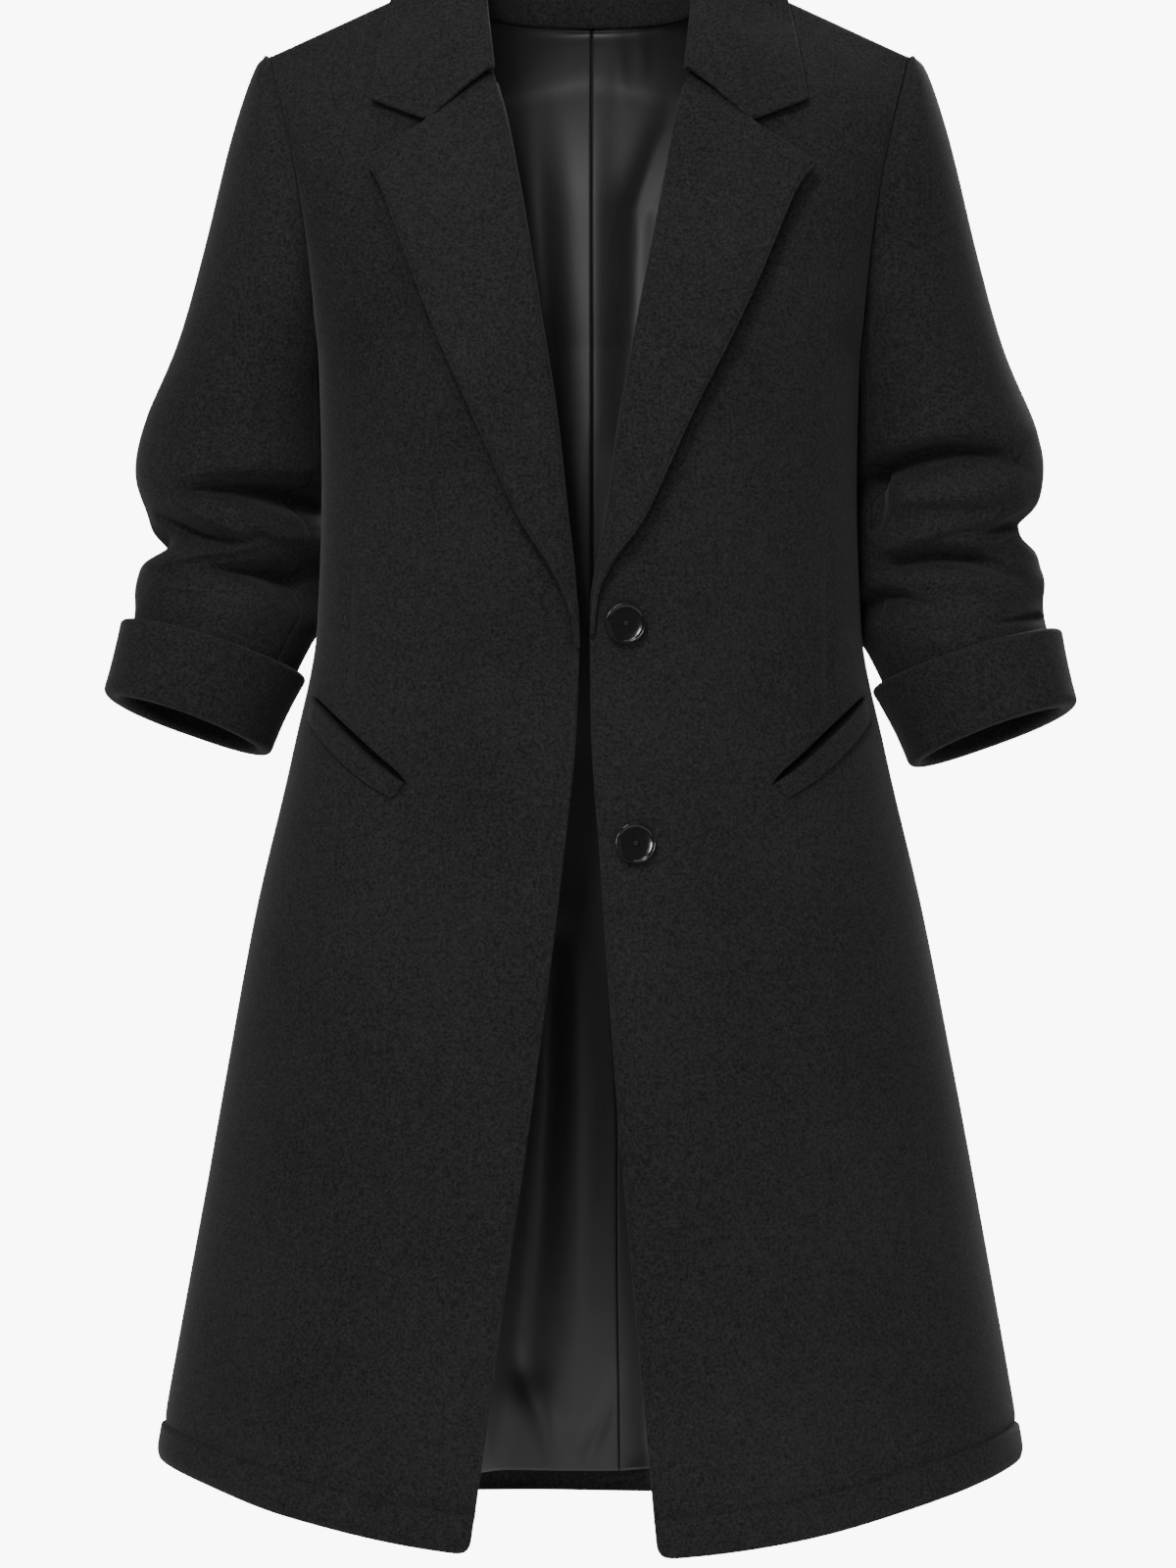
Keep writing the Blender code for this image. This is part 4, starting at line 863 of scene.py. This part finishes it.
COLLAR_STATIONS = np.array([
    ((0, 72.8, -10.5), (0, 75, 33), (0, 90.5, 10), (0, 98, -33)),
    ((38.5, 63.8, -10), (35, 68, 35), (45.5, 84, 11), (55, 94, -32)),
    ((61.2, 43, -8.5), (54.5, 47, 40), (75, 57, 17), (93, 66, -27)),
    ((76.5, 21.5, 3), (66, 20, 42), (93, 25, 23), (118, 30, -9)),
    ((82, -6, 19), (69, -6, 33), (97, -9, 24), (128.5, -8, 6.5)),
    ((71.5, -33, -16), (66.8, -34, -5), (99, -35.5, -8.5), (134.5, -26.5, -16.5)),
    ((68.5, -47, -34.5), (64.2, -54, -28.5), (102, -64, -45), (139, -49, -44)),
    ((65, -63, -56), (61.2, -73.5, -53.5), (105.5, -82, -88.5), (143.5, -65.5, -72)),
]) * MM
COLLAR_STOPS = np.array([0.0, 0.16, 0.34, 0.44, 0.60, 0.78, 1.0])
COLLAR_THICK = 0.0030
COLLAR_STAND_IN = 0.001
COLLAR_CROWN_OUT = 0.0036
COLLAR_CROWN_UP = 0.00135
COLLAR_ROUND = 0.00225
COLLAR_ROUND_AT = 0.40
NECK_MIDDLE = (0, 0.02, 0.0)


def collar_point(around, across):
    """Outside of the collar; around runs from the right end (-1) by the back to the left end (1)."""
    places = np.linspace(0, 1, len(COLLAR_STATIONS))
    reach = np.abs(around)
    seam, roll, fall, edge = (
        np.stack([run_through(places, COLLAR_STATIONS[:, n, k], reach) for k in range(3)], axis=-1)
        for n in range(4)
    )
    out = fall - roll
    out[..., 2] = 0
    out /= np.linalg.norm(out, axis=-1, keepdims=True)
    up = np.array([0.0, 0.0, 1.0])
    stand = (seam + roll) / 2 - out * COLLAR_STAND_IN
    crown = roll + out * COLLAR_CROWN_OUT + up * COLLAR_CROWN_UP
    shoulder = roll + (fall - roll) * COLLAR_ROUND_AT + (out + up) * COLLAR_ROUND
    knots = np.array([seam, stand, roll, crown, shoulder, fall, edge])
    i = np.clip(np.searchsorted(COLLAR_STOPS, across, side="right") - 1, 0, len(COLLAR_STOPS) - 2)
    f = ((across - COLLAR_STOPS[i]) / (COLLAR_STOPS[i + 1] - COLLAR_STOPS[i]))[..., None]
    last = len(knots) - 1

    def knot(index):
        return np.take_along_axis(knots, np.clip(index, 0, last)[None, ..., None], axis=0)[0]

    near, far = knot(i), knot(i + 1)
    straight = near * (1 - f) + far * f
    curved = bend(near, far, (far - knot(i - 1)) / 2, (knot(i + 2) - near) / 2, f)
    plain = ease(0.80, 0.97, reach)[..., None]
    points = curved * (1 - plain) + straight * plain
    points[..., 0] *= np.where(around < 0, -1, 1)
    return points


collar_around = np.concatenate([[-1.0, -0.994, -0.984], np.linspace(-0.965, 0.965, 75), [0.984, 0.994, 1.0]])
collar_across = np.concatenate([
    np.linspace(0, 0.30, 9), np.linspace(0.33, 0.47, 8), np.linspace(0.50, 0.97, 17), [0.986, 1.0],
])
around, across = np.meshgrid(collar_around, collar_across)
points = collar_point(around, across)
outward = faces_out(points, NECK_MIDDLE)
collar_piece = lay_cloth("collar_cloth", points, outward, COLLAR_THICK)
sew_in(collar_piece, "collar", wool)

# Pocket welts
# A slanted strip of wool, sewn down along its lower edge and open along the top, which is the
# mouth of the pocket.

# Places down each welt, in millimetres: x and z of the mouth, x and z of the sewn edge.

WELT = np.array([
    (180.5, -464, 184.5, -477), (170, -476.5, 174.5, -490.5), (155, -492, 160.8, -505.2),
    (139, -506.5, 145.8, -518.2), (120.5, -519.5, 128.3, -529.7),
]) * MM
WELT_THICK = 0.0022
WELT_WALL = 0.0014
WELT_SEAT = 0.0009
WELT_SEWN = 0.40
WELT_END = 0.35

for side, word in ((-1, "right"), (1, "left")):
    along = np.concatenate([[0.0, 0.02], np.linspace(0.05, 0.95, 30), [0.98, 1.0]])
    across = np.array([0.0, 0.05, 0.12, 0.22, 0.35, 0.5, 0.65, 0.78, 0.88, 0.95, 1.0])
    places = np.linspace(0, 1, len(WELT))
    mouth_x, mouth_z, lower_x, lower_z = (
        run_through(places, WELT[:, k], along)[:, None] for k in range(4)
    )
    x, z = mouth_x + (lower_x - mouth_x) * across, mouth_z + (lower_z - mouth_z) * across
    ends = np.minimum(along, 1 - along)[:, None]
    sewn_down = 1 - WELT_SEWN * ease(0.55, 1.0, across)
    lift = WELT_SEAT + WELT_THICK * sewn_down * (WELT_END + (1 - WELT_END) * ease(0.0, 0.10, ends))
    outward = front_normal(side, x, z)
    points = front_at(side, x, z)
    move = lift + pressed(points, FRONT_FOLDS[word])
    piece = lay_cloth("welt_cloth_" + word, points + outward * move[..., None], outward, WELT_WALL)
    sew_in(piece, "pocket_welt_" + word, wool)

# Lining
# The back is lined with dark satin in two halves, joined down the centre and sewn in at the
# neck. It is cut with ease, so that it hangs in soft folds, and it stops above the hem.

LINING_EASE = 0.0100
LINING_FOLLOWS = 0.3
LINING_SLACK = 0.007
LINING_THICK = 0.0006
LINING_HEM = 0.0165
LINING_GAP = 0.0004
LINING_CLEAR = 0.0014
LINING_TIGHT = 0.64
LINING_DEEPEST = 0.0160
LINING_FLAT_TOP = 0.75
LINING_SEAM = 0.0010
LINING_SEAM_WIDE = 0.0013
LINING_SEAM_GAP = 0.0002
LINING_SEAM_OFF = 0.0035
LINING_SEAM_DRIFT = 0.0385
LINING_TUCK = (0, 0.0026, 0.0020)
LINING_FOLDS = [
    [(-9, -30, 20, 2), (-8.5, -120, 20, 4), (-7, -240, 19, 3.8), (-4, -400, 18, 2)],
    [(-42, -40, 16, -4), (-37, -120, 17, -6.5), (-31, -220, 15, -6), (-27, -360, 14, -3)],
    [(-72, -50, 18, 3), (-66, -120, 18, 6), (-60, -220, 18, 6), (-56, -360, 18, 2)],
    [(6.5, -30, 10, 1), (6, -140, 10, 1.8), (6, -280, 10, 1.5)],
    [(20, -13, 4, -1), (20.5, -30, 5, -1.8), (21.5, -55, 6.5, -0.6)],
    [(29, -12, 4, 1), (30, -28, 5, 1.6), (29, -50, 6, 0.4)],
    [(38, -10, 3.5, -1), (37, -24, 4.2, -1.6), (35, -42, 5, -0.4)],
    [(46, -9, 4, 1), (45, -24, 5, 1.6), (41, -48, 7, 0.6)],
    [(68, -33.6, 11, -2.5), (58, -60.3, 11.5, -5), (48, -90, 12, -6), (33.5, -130, 12, -6),
     (31.5, -200, 12, -6), (29, -320, 12, -3)],
    [(82, -60, 18, -2.5), (74, -90, 20, -4.2), (60, -130, 20, -4.8), (56, -200, 20, -4.8),
     (52, -320, 18, -1)],
    [(-10.3, -613.3, 19, 2.5), (-8.7, -693.2, 20, 5), (-7, -786.5, 20, 6), (-6, -879.8, 16, 5),
     (-14, -946.4, 14, 2.5)],
    [(-28, -626.6, 14, -4), (-30, -719.9, 15, -8), (-36, -819.8, 16, -9), (-45, -919.8, 16, -8)],
    [(-56, -620, 15, 6), (-60, -720, 16, 16), (-69, -820, 17, 20), (-80, -920, 17, 20),
     (-85, -985, 17, 18)],
    [(18, -745.2, 4, -1.2), (12.7, -753.2, 4, -1.6), (7.3, -765.2, 4, -0.4)],
    [(18, -773.2, 4, -1.2), (11.3, -783.8, 4, -1.6), (6, -797.2, 4, -0.4)],
    [(-28, -979, 6, -1.5), (-33, -956, 6.5, -4.2), (-41, -936, 7, -4.5), (-50, -916, 7, -1.5)],
    [(-15, -979, 7, 1.5), (-23, -950, 7.5, 3.2), (-30, -925, 8, 1)],
    [(-2, -979, 5.5, -1.5), (4.7, -966.4, 6, -4.2), (12.7, -946.4, 6.5, -3.5), (18, -926.4, 6.5, -1)],
    [(38, -653.2, 15, -6), (42, -786.5, 16, -15), (45, -980, 16, -16)],
    [(-120, -200, 16, 2), (-125, -420, 18, 4), (-135, -700, 20, 5), (-150, -960, 22, 5)],
    [(-85, -300, 14, -1), (-88, -440, 16, -4), (-82, -560, 16, -1)],
    [(95, -220, 16, 2), (100, -460, 18, 4), (112, -720, 20, 5), (124, -960, 22, 5)],
    [(150, -300, 14, -2), (158, -560, 18, -4), (175, -940, 20, -4)],
]


def grain_group():
    """Fine grain laid on the piece: a tone and a roughness that follow it, and the grain itself."""
    group = bpy.data.node_groups.new("fine_grain", "ShaderNodeTree")
    socket = group.interface.new_socket
    for name in ("Scale", "Detail", "Low", "High", "Least Rough", "Most Rough"):
        socket(name, in_out="INPUT", socket_type="NodeSocketFloat")
    socket("Stretch", in_out="INPUT", socket_type="NodeSocketVector")
    socket("Dark", in_out="INPUT", socket_type="NodeSocketColor")
    socket("Pale", in_out="INPUT", socket_type="NodeSocketColor")
    socket("Color", in_out="OUTPUT", socket_type="NodeSocketColor")
    socket("Roughness", in_out="OUTPUT", socket_type="NodeSocketFloat")
    socket("Grain", in_out="OUTPUT", socket_type="NodeSocketFloat")
    nodes, links = group.nodes, group.links
    given = nodes.new("NodeGroupInput").outputs
    put = nodes.new("NodeGroupOutput").inputs
    place = nodes.new("ShaderNodeTexCoord")
    lay = nodes.new("ShaderNodeMapping")
    grain = nodes.new("ShaderNodeTexNoise")
    tone = nodes.new("ShaderNodeMapRange")
    colour = nodes.new("ShaderNodeMix")
    colour.data_type = "RGBA"
    dulled = nodes.new("ShaderNodeMapRange")
    links.new(place.outputs["Object"], lay.inputs["Vector"])
    links.new(given["Stretch"], lay.inputs["Scale"])
    links.new(lay.outputs["Vector"], grain.inputs["Vector"])
    links.new(given["Scale"], grain.inputs["Scale"])
    links.new(given["Detail"], grain.inputs["Detail"])
    links.new(grain.outputs["Fac"], tone.inputs["Value"])
    links.new(given["Low"], tone.inputs["From Min"])
    links.new(given["High"], tone.inputs["From Max"])
    links.new(tone.outputs["Result"], colour.inputs["Factor"])
    links.new(given["Dark"], colour.inputs["A"])
    links.new(given["Pale"], colour.inputs["B"])
    links.new(grain.outputs["Fac"], dulled.inputs["Value"])
    links.new(given["Least Rough"], dulled.inputs["To Min"])
    links.new(given["Most Rough"], dulled.inputs["To Max"])
    links.new(colour.outputs["Result"], put["Color"])
    links.new(dulled.outputs["Result"], put["Roughness"])
    links.new(grain.outputs["Fac"], put["Grain"])
    return group


fine_grain = grain_group()


def grained(name, values):
    """Material whose tone follows the grain, laid with its own values."""
    material = bpy.data.materials.new(name)
    material.use_nodes = True
    shader = material.node_tree.nodes["Principled BSDF"]
    grain = material.node_tree.nodes.new("ShaderNodeGroup")
    grain.node_tree = fine_grain
    for label, value in values.items():
        grain.inputs[label].default_value = value
    material.node_tree.links.new(grain.outputs["Color"], shader.inputs["Base Color"])
    return material, shader, grain.outputs


SATIN_GRAIN = {
    "Scale": 1600, "Detail": 2, "Stretch": (1.0, 1.0, 0.03), "Low": 0.30, "High": 0.72,
    "Dark": (0.012, 0.012, 0.0125, 1), "Pale": (0.020, 0.020, 0.021, 1),
    "Least Rough": 0.46, "Most Rough": 0.56,
}
satin, satin_shader, satin_grain = grained("black_satin", SATIN_GRAIN)
satin.node_tree.links.new(satin_grain["Roughness"], satin_shader.inputs["Roughness"])
satin_nap = satin.node_tree.nodes.new("ShaderNodeBump")
satin_nap.inputs["Strength"].default_value = 0.06
satin_nap.inputs["Distance"].default_value = 0.0003
satin.node_tree.links.new(satin_grain["Grain"], satin_nap.inputs["Height"])
satin.node_tree.links.new(satin_nap.outputs["Normal"], satin_shader.inputs["Normal"])
satin_shader.inputs["Sheen Weight"].default_value = 0.08
satin_shader.inputs["Specular IOR Level"].default_value = 0.8

lining_rows = np.concatenate([
    HEM + LINING_HEM + np.array([0.0, 0.002]), np.linspace(HEM + LINING_HEM + 0.006, -0.240, 104),
    np.linspace(-0.2350, -0.045, 62), np.linspace(-0.043, SHOULDER, 5),
])
lining_columns = np.concatenate([
    [0.0, 0.0010, 0.0022, 0.004, 0.009, 0.015, 0.022], np.linspace(0.030, 0.300, 40),
    np.linspace(0.315, 0.900, 34),
])
for side, word in ((-1, "right"), (1, "left")):
    share, height = np.meshgrid(lining_columns, lining_rows)
    drift = LINING_SEAM_OFF + LINING_SEAM_DRIFT * (1 - ease(-0.74, -0.42, height))
    points = back_point(height, side * share + drift * (1 - share / lining_columns[-1]))
    inward = -faces_out(points, COAT_MIDDLE)
    wool_in = -pressed(points, BACK_FOLDS)
    slack = LINING_SLACK * (1 - ease(-0.740, -0.520, height)) * (1 - ease(0.10, 0.30, share))
    loose = LINING_EASE * (1 - LINING_TIGHT * ease(-0.220, SHOULDER, height)) + slack
    gap = WOOL_THICK + LINING_GAP + loose + LINING_FOLLOWS * wool_in
    move = np.maximum(pressed(points, LINING_FOLDS), -LINING_DEEPEST)
    move *= 1 - LINING_FLAT_TOP * ease(-0.150, SHOULDER, height)
    move -= LINING_SEAM * dent(share, LINING_SEAM_WIDE)
    move = np.maximum(move, wool_in - gap + WOOL_THICK + LINING_CLEAR)
    points = points + inward * (gap + move)[..., None]
    points[..., 0] += side * LINING_SEAM_GAP
    sewn = ease(-0.047, -0.040, height) * (1 - ease(0.070, NECK_HALF, np.abs(points[..., 0])))
    points = points + sewn[..., None] * np.array(LINING_TUCK)
    piece = lay_cloth("lining_satin_" + word, points, inward, LINING_THICK, finer=0)
    sew_in(piece, "lining_back_" + word, satin)

# Buttons
# Two round black buttons with a raised rim and four holes, moulded in polished plastic and
# sewn to the left front through the holes with black thread.

BUTTON_RADIUS = 0.0131
BUTTON_HIGH = 0.0042
BUTTON_RIM = 0.0014
BUTTON_DISH = 0.0009
BUTTON_HOLE = 0.0007
BUTTON_PITCH = 0.0030
BUTTON_STEP = 0.0008
BUTTON_CENTRE = 0.0040
BUTTON_CENTRE_DIP = 0.0002
BUTTON_ROUND = 0.0005
DRILL_LONG = 0.02
STITCH_RADIUS = 0.00055
STITCH_LONG = 1.42 * BUTTON_PITCH
STITCH_LIFT = 0.0001
STITCH_ROUND = 0.0003

# Each button's x and z in front view, and its height off the cloth.

BUTTON_PLACES = (("upper", 0.0233, -0.4167, 0.0014), ("lower", 0.0296, -0.5583, 0.0010))

GLOSS_GRAIN = {
    "Scale": 900, "Detail": 3, "Stretch": (1.0, 1.0, 1.0), "Low": 0.0, "High": 1.0,
    "Dark": (0.003, 0.003, 0.0032, 1), "Pale": (0.006, 0.006, 0.0064, 1),
    "Least Rough": 0.07, "Most Rough": 0.15,
}
gloss, gloss_shader, gloss_grain = grained("polished_black_button", GLOSS_GRAIN)
gloss.node_tree.links.new(gloss_grain["Roughness"], gloss_shader.inputs["Roughness"])
gloss_shader.inputs["Specular IOR Level"].default_value = 0.4
gloss_shader.inputs["Coat Weight"].default_value = 0.2
gloss_shader.inputs["Coat Roughness"].default_value = 0.06

THREAD_GRAIN = {
    "Scale": 2500, "Detail": 2, "Stretch": (1.0, 1.0, 1.0), "Low": 0.0, "High": 1.0,
    "Dark": (0.006, 0.006, 0.006, 1), "Pale": (0.014, 0.014, 0.0145, 1),
}
thread, thread_shader, _ = grained("black_thread", THREAD_GRAIN)
thread_shader.inputs["Roughness"].default_value = 0.7

for name, x, z, lift in BUTTON_PLACES:
    bpy.ops.object.select_all(action="DESELECT")
    bpy.ops.mesh.primitive_cylinder_add(
        vertices=72, radius=BUTTON_RADIUS, depth=BUTTON_HIGH, location=(0, 0, BUTTON_HIGH / 2)
    )
    button = bpy.context.object
    button.name = "button_" + name + "_turned"
    bpy.ops.object.transform_apply(location=True, rotation=True, scale=True)
    bpy.ops.object.mode_set(mode="EDIT")
    bpy.ops.mesh.select_mode(type="FACE")
    bpy.ops.mesh.select_all(action="DESELECT")
    bpy.ops.object.mode_set(mode="OBJECT")
    for face in button.data.polygons:
        face.select = face.normal.z > 0.9
    bpy.ops.object.mode_set(mode="EDIT")
    bpy.ops.mesh.inset(thickness=BUTTON_RIM, depth=0)
    bpy.ops.mesh.inset(thickness=BUTTON_STEP, depth=-BUTTON_DISH)
    bpy.ops.mesh.inset(thickness=BUTTON_CENTRE, depth=-BUTTON_CENTRE_DIP)
    bpy.ops.object.mode_set(mode="OBJECT")
    rounded = button.modifiers.new("rounded", "BEVEL")
    rounded.width = BUTTON_ROUND
    rounded.segments = 4
    rounded.limit_method = "ANGLE"
    rounded.angle_limit = math.radians(25)
    bpy.ops.object.modifier_apply(modifier=rounded.name)
    for k in range(4):
        turn = math.pi / 4 + k * math.pi / 2
        reach = BUTTON_PITCH / math.sqrt(2)
        bpy.ops.object.select_all(action="DESELECT")
        place = (math.cos(turn) * reach, math.sin(turn) * reach, 0)
        bpy.ops.mesh.primitive_cylinder_add(vertices=20, radius=BUTTON_HOLE, depth=DRILL_LONG, location=place)
        drill = bpy.context.object
        bpy.context.view_layer.objects.active = button
        hole = button.modifiers.new("hole", "BOOLEAN")
        hole.operation = "DIFFERENCE"
        hole.solver = "EXACT"
        hole.object = drill
        bpy.ops.object.modifier_apply(modifier=hole.name)
        bpy.data.objects.remove(drill, do_unlink=True)
    button.data.materials.clear()
    button.data.materials.append(gloss)
    button.data.materials.append(thread)
    stitches = []
    for turn in (math.pi / 4, 3 * math.pi / 4):
        bpy.ops.object.select_all(action="DESELECT")
        bpy.ops.mesh.primitive_cylinder_add(
            vertices=12, radius=STITCH_RADIUS, depth=STITCH_LONG,
            location=(0, 0, BUTTON_HIGH - BUTTON_DISH + STITCH_LIFT),
            rotation=(math.pi / 2, 0, turn + math.pi / 2),
        )
        stitch = bpy.context.object
        bpy.ops.object.transform_apply(location=True, rotation=True, scale=True)
        bpy.ops.object.mode_set(mode="EDIT")
        bpy.ops.mesh.select_all(action="SELECT")
        bpy.ops.mesh.bevel(offset=STITCH_ROUND, segments=2, affect="EDGES")
        bpy.ops.object.mode_set(mode="OBJECT")
        stitch.data.materials.append(gloss)
        stitch.data.materials.append(thread)
        for face in stitch.data.polygons:
            face.material_index = 1
        stitches.append(stitch)
    bpy.ops.object.select_all(action="DESELECT")
    for item in stitches + [button]:
        item.select_set(True)
    bpy.context.view_layer.objects.active = button
    bpy.ops.object.join()
    base = front_at(1, x, z) + front_normal(1, x, z) * lift
    facing = Vector(front_normal(1, x, z)).to_track_quat("Z", "Y")
    button.rotation_mode = "QUATERNION"
    button.rotation_quaternion = facing
    button.location = Vector(base)
    bpy.ops.object.transform_apply(location=True, rotation=True, scale=True)
    bpy.ops.object.shade_smooth_by_angle(angle=math.radians(35))
    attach(button, "root")
    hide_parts("button_" + name)

# Buttonholes
# Two buttonholes worked in black thread along the edge of the right front, each a narrow
# slit with a closely stitched rim.

# Each buttonhole's ends and height in front view.

BUTTONHOLES = (("upper", 0.0177, 0.0411, -0.4180), ("lower", 0.0265, 0.0518, -0.5596))
LOOP_RADIUS = 0.01
LOOP_CORD = 0.001
SLIT_OPEN = 0.0006
SLIT_RISE = 0.0012
STITCH_THICK = 0.32
STITCH_RIB = 0.09
STITCH_COUNT = 60
BUTTONHOLE_LIFT = 0.0001

for name, x_in, x_out, z in BUTTONHOLES:
    bpy.ops.object.select_all(action="DESELECT")
    bpy.ops.mesh.primitive_torus_add(
        major_segments=120, minor_segments=8, major_radius=LOOP_RADIUS, minor_radius=LOOP_CORD
    )
    worked = bpy.context.object
    worked.name = "buttonhole_" + name
    loop = np.array([v.co[:] for v in worked.data.vertices])
    turn = np.arctan2(loop[:, 1], loop[:, 0])
    off = np.hypot(loop[:, 0], loop[:, 1]) - LOOP_RADIUS
    half = (x_out - x_in) / 2
    rib = STITCH_THICK + STITCH_RIB * np.sin(STITCH_COUNT * turn)
    across = np.sign(np.cos(turn)) * np.abs(np.cos(turn)) ** 0.5 * half
    up = np.sin(turn) * SLIT_OPEN + np.sign(np.sin(turn)) * off * rib
    x = (x_in + x_out) / 2 + across + off * rib * np.cos(turn)
    flat = front_at(-1, x, z + up + SLIT_RISE * (x - x_in) / half)
    out = front_normal(-1, np.full(x.shape, (x_in + x_out) / 2), np.full(x.shape, z))
    place = flat + out * (BUTTONHOLE_LIFT + loop[:, 2:3] * rib[:, None])
    worked.data.vertices.foreach_set("co", np.ascontiguousarray(place, dtype=np.float32).reshape(-1))
    worked.data.update()
    bpy.ops.object.mode_set(mode="EDIT")
    bpy.ops.mesh.select_all(action="SELECT")
    bpy.ops.mesh.normals_make_consistent(inside=False)
    bpy.ops.object.mode_set(mode="OBJECT")
    bpy.ops.object.shade_smooth()
    worked.data.materials.append(thread)
    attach(worked, "root")

# Studio
# The coat hangs over a pale floor in a plain white room. Soft light comes from the upper left
# and the front, with weaker lights on the right and above and one from behind.

FLOOR_WIDE = 4.4
FLOOR_LEVEL = -1.35
ROOM_LIGHT = 0.17
ROOM_SEEN = 9.0
AIM = Vector((0, 0, -0.45))
CAMERA_PLACE = (-0.0008, -4.0, -0.52)
CAMERA_LENS = 138.46
CAMERA_SENSOR = 36

# Each light's name, place, size and power.

LIGHTS = (
    ("key", (-0.8, -2.9, 2.1), 0.9, 68),
    ("fill", (2.2, -3.2, 0.4), 2.0, 9),
    ("top", (0.0, -0.6, 2.6), 1.2, 16),
    ("front", (-0.4, -3.7, 0.25), 0.5, 25),
    ("back", (0.9, 2.9, 2.3), 1.6, 130),
)

bpy.ops.object.select_all(action="DESELECT")
bpy.ops.mesh.primitive_plane_add(size=FLOOR_WIDE, location=(0, 0, FLOOR_LEVEL))
floor = bpy.context.object
floor.name = "studio_floor"
bpy.ops.object.transform_apply(location=True, rotation=True, scale=True)
paper = bpy.data.materials.new("pale_paper")
paper.use_nodes = True
paper_shader = paper.node_tree.nodes["Principled BSDF"]
paper_shader.inputs["Base Color"].default_value = (0.90, 0.90, 0.90, 1)
paper_shader.inputs["Roughness"].default_value = 0.9
floor.data.materials.append(paper)

room = bpy.data.worlds.new("white_room")
bpy.context.scene.world = room
room.use_nodes = True
room_nodes, room_links = room.node_tree.nodes, room.node_tree.links
room_seen = room_nodes.new("ShaderNodeLightPath")
room_glow = room_nodes.new("ShaderNodeMapRange")
room_glow.inputs["To Min"].default_value = ROOM_LIGHT
room_glow.inputs["To Max"].default_value = ROOM_SEEN
room_links.new(room_seen.outputs["Is Camera Ray"], room_glow.inputs["Value"])
room_links.new(room_glow.outputs["Result"], room_nodes["Background"].inputs["Strength"])
room_nodes["Background"].inputs["Color"].default_value = (1, 1, 1, 1)

for name, place, size, power in LIGHTS:
    bpy.ops.object.light_add(type="AREA", location=place)
    lamp = bpy.context.object
    lamp.name = name + "_light"
    lamp.data.size = size
    lamp.data.energy = power
    lamp.rotation_euler = (AIM - Vector(place)).to_track_quat("-Z", "Y").to_euler()

bpy.ops.object.camera_add(location=CAMERA_PLACE, rotation=(math.pi / 2, 0, 0))
camera = bpy.context.object
camera.data.sensor_width = CAMERA_SENSOR
camera.data.lens = CAMERA_LENS
bpy.context.scene.camera = camera
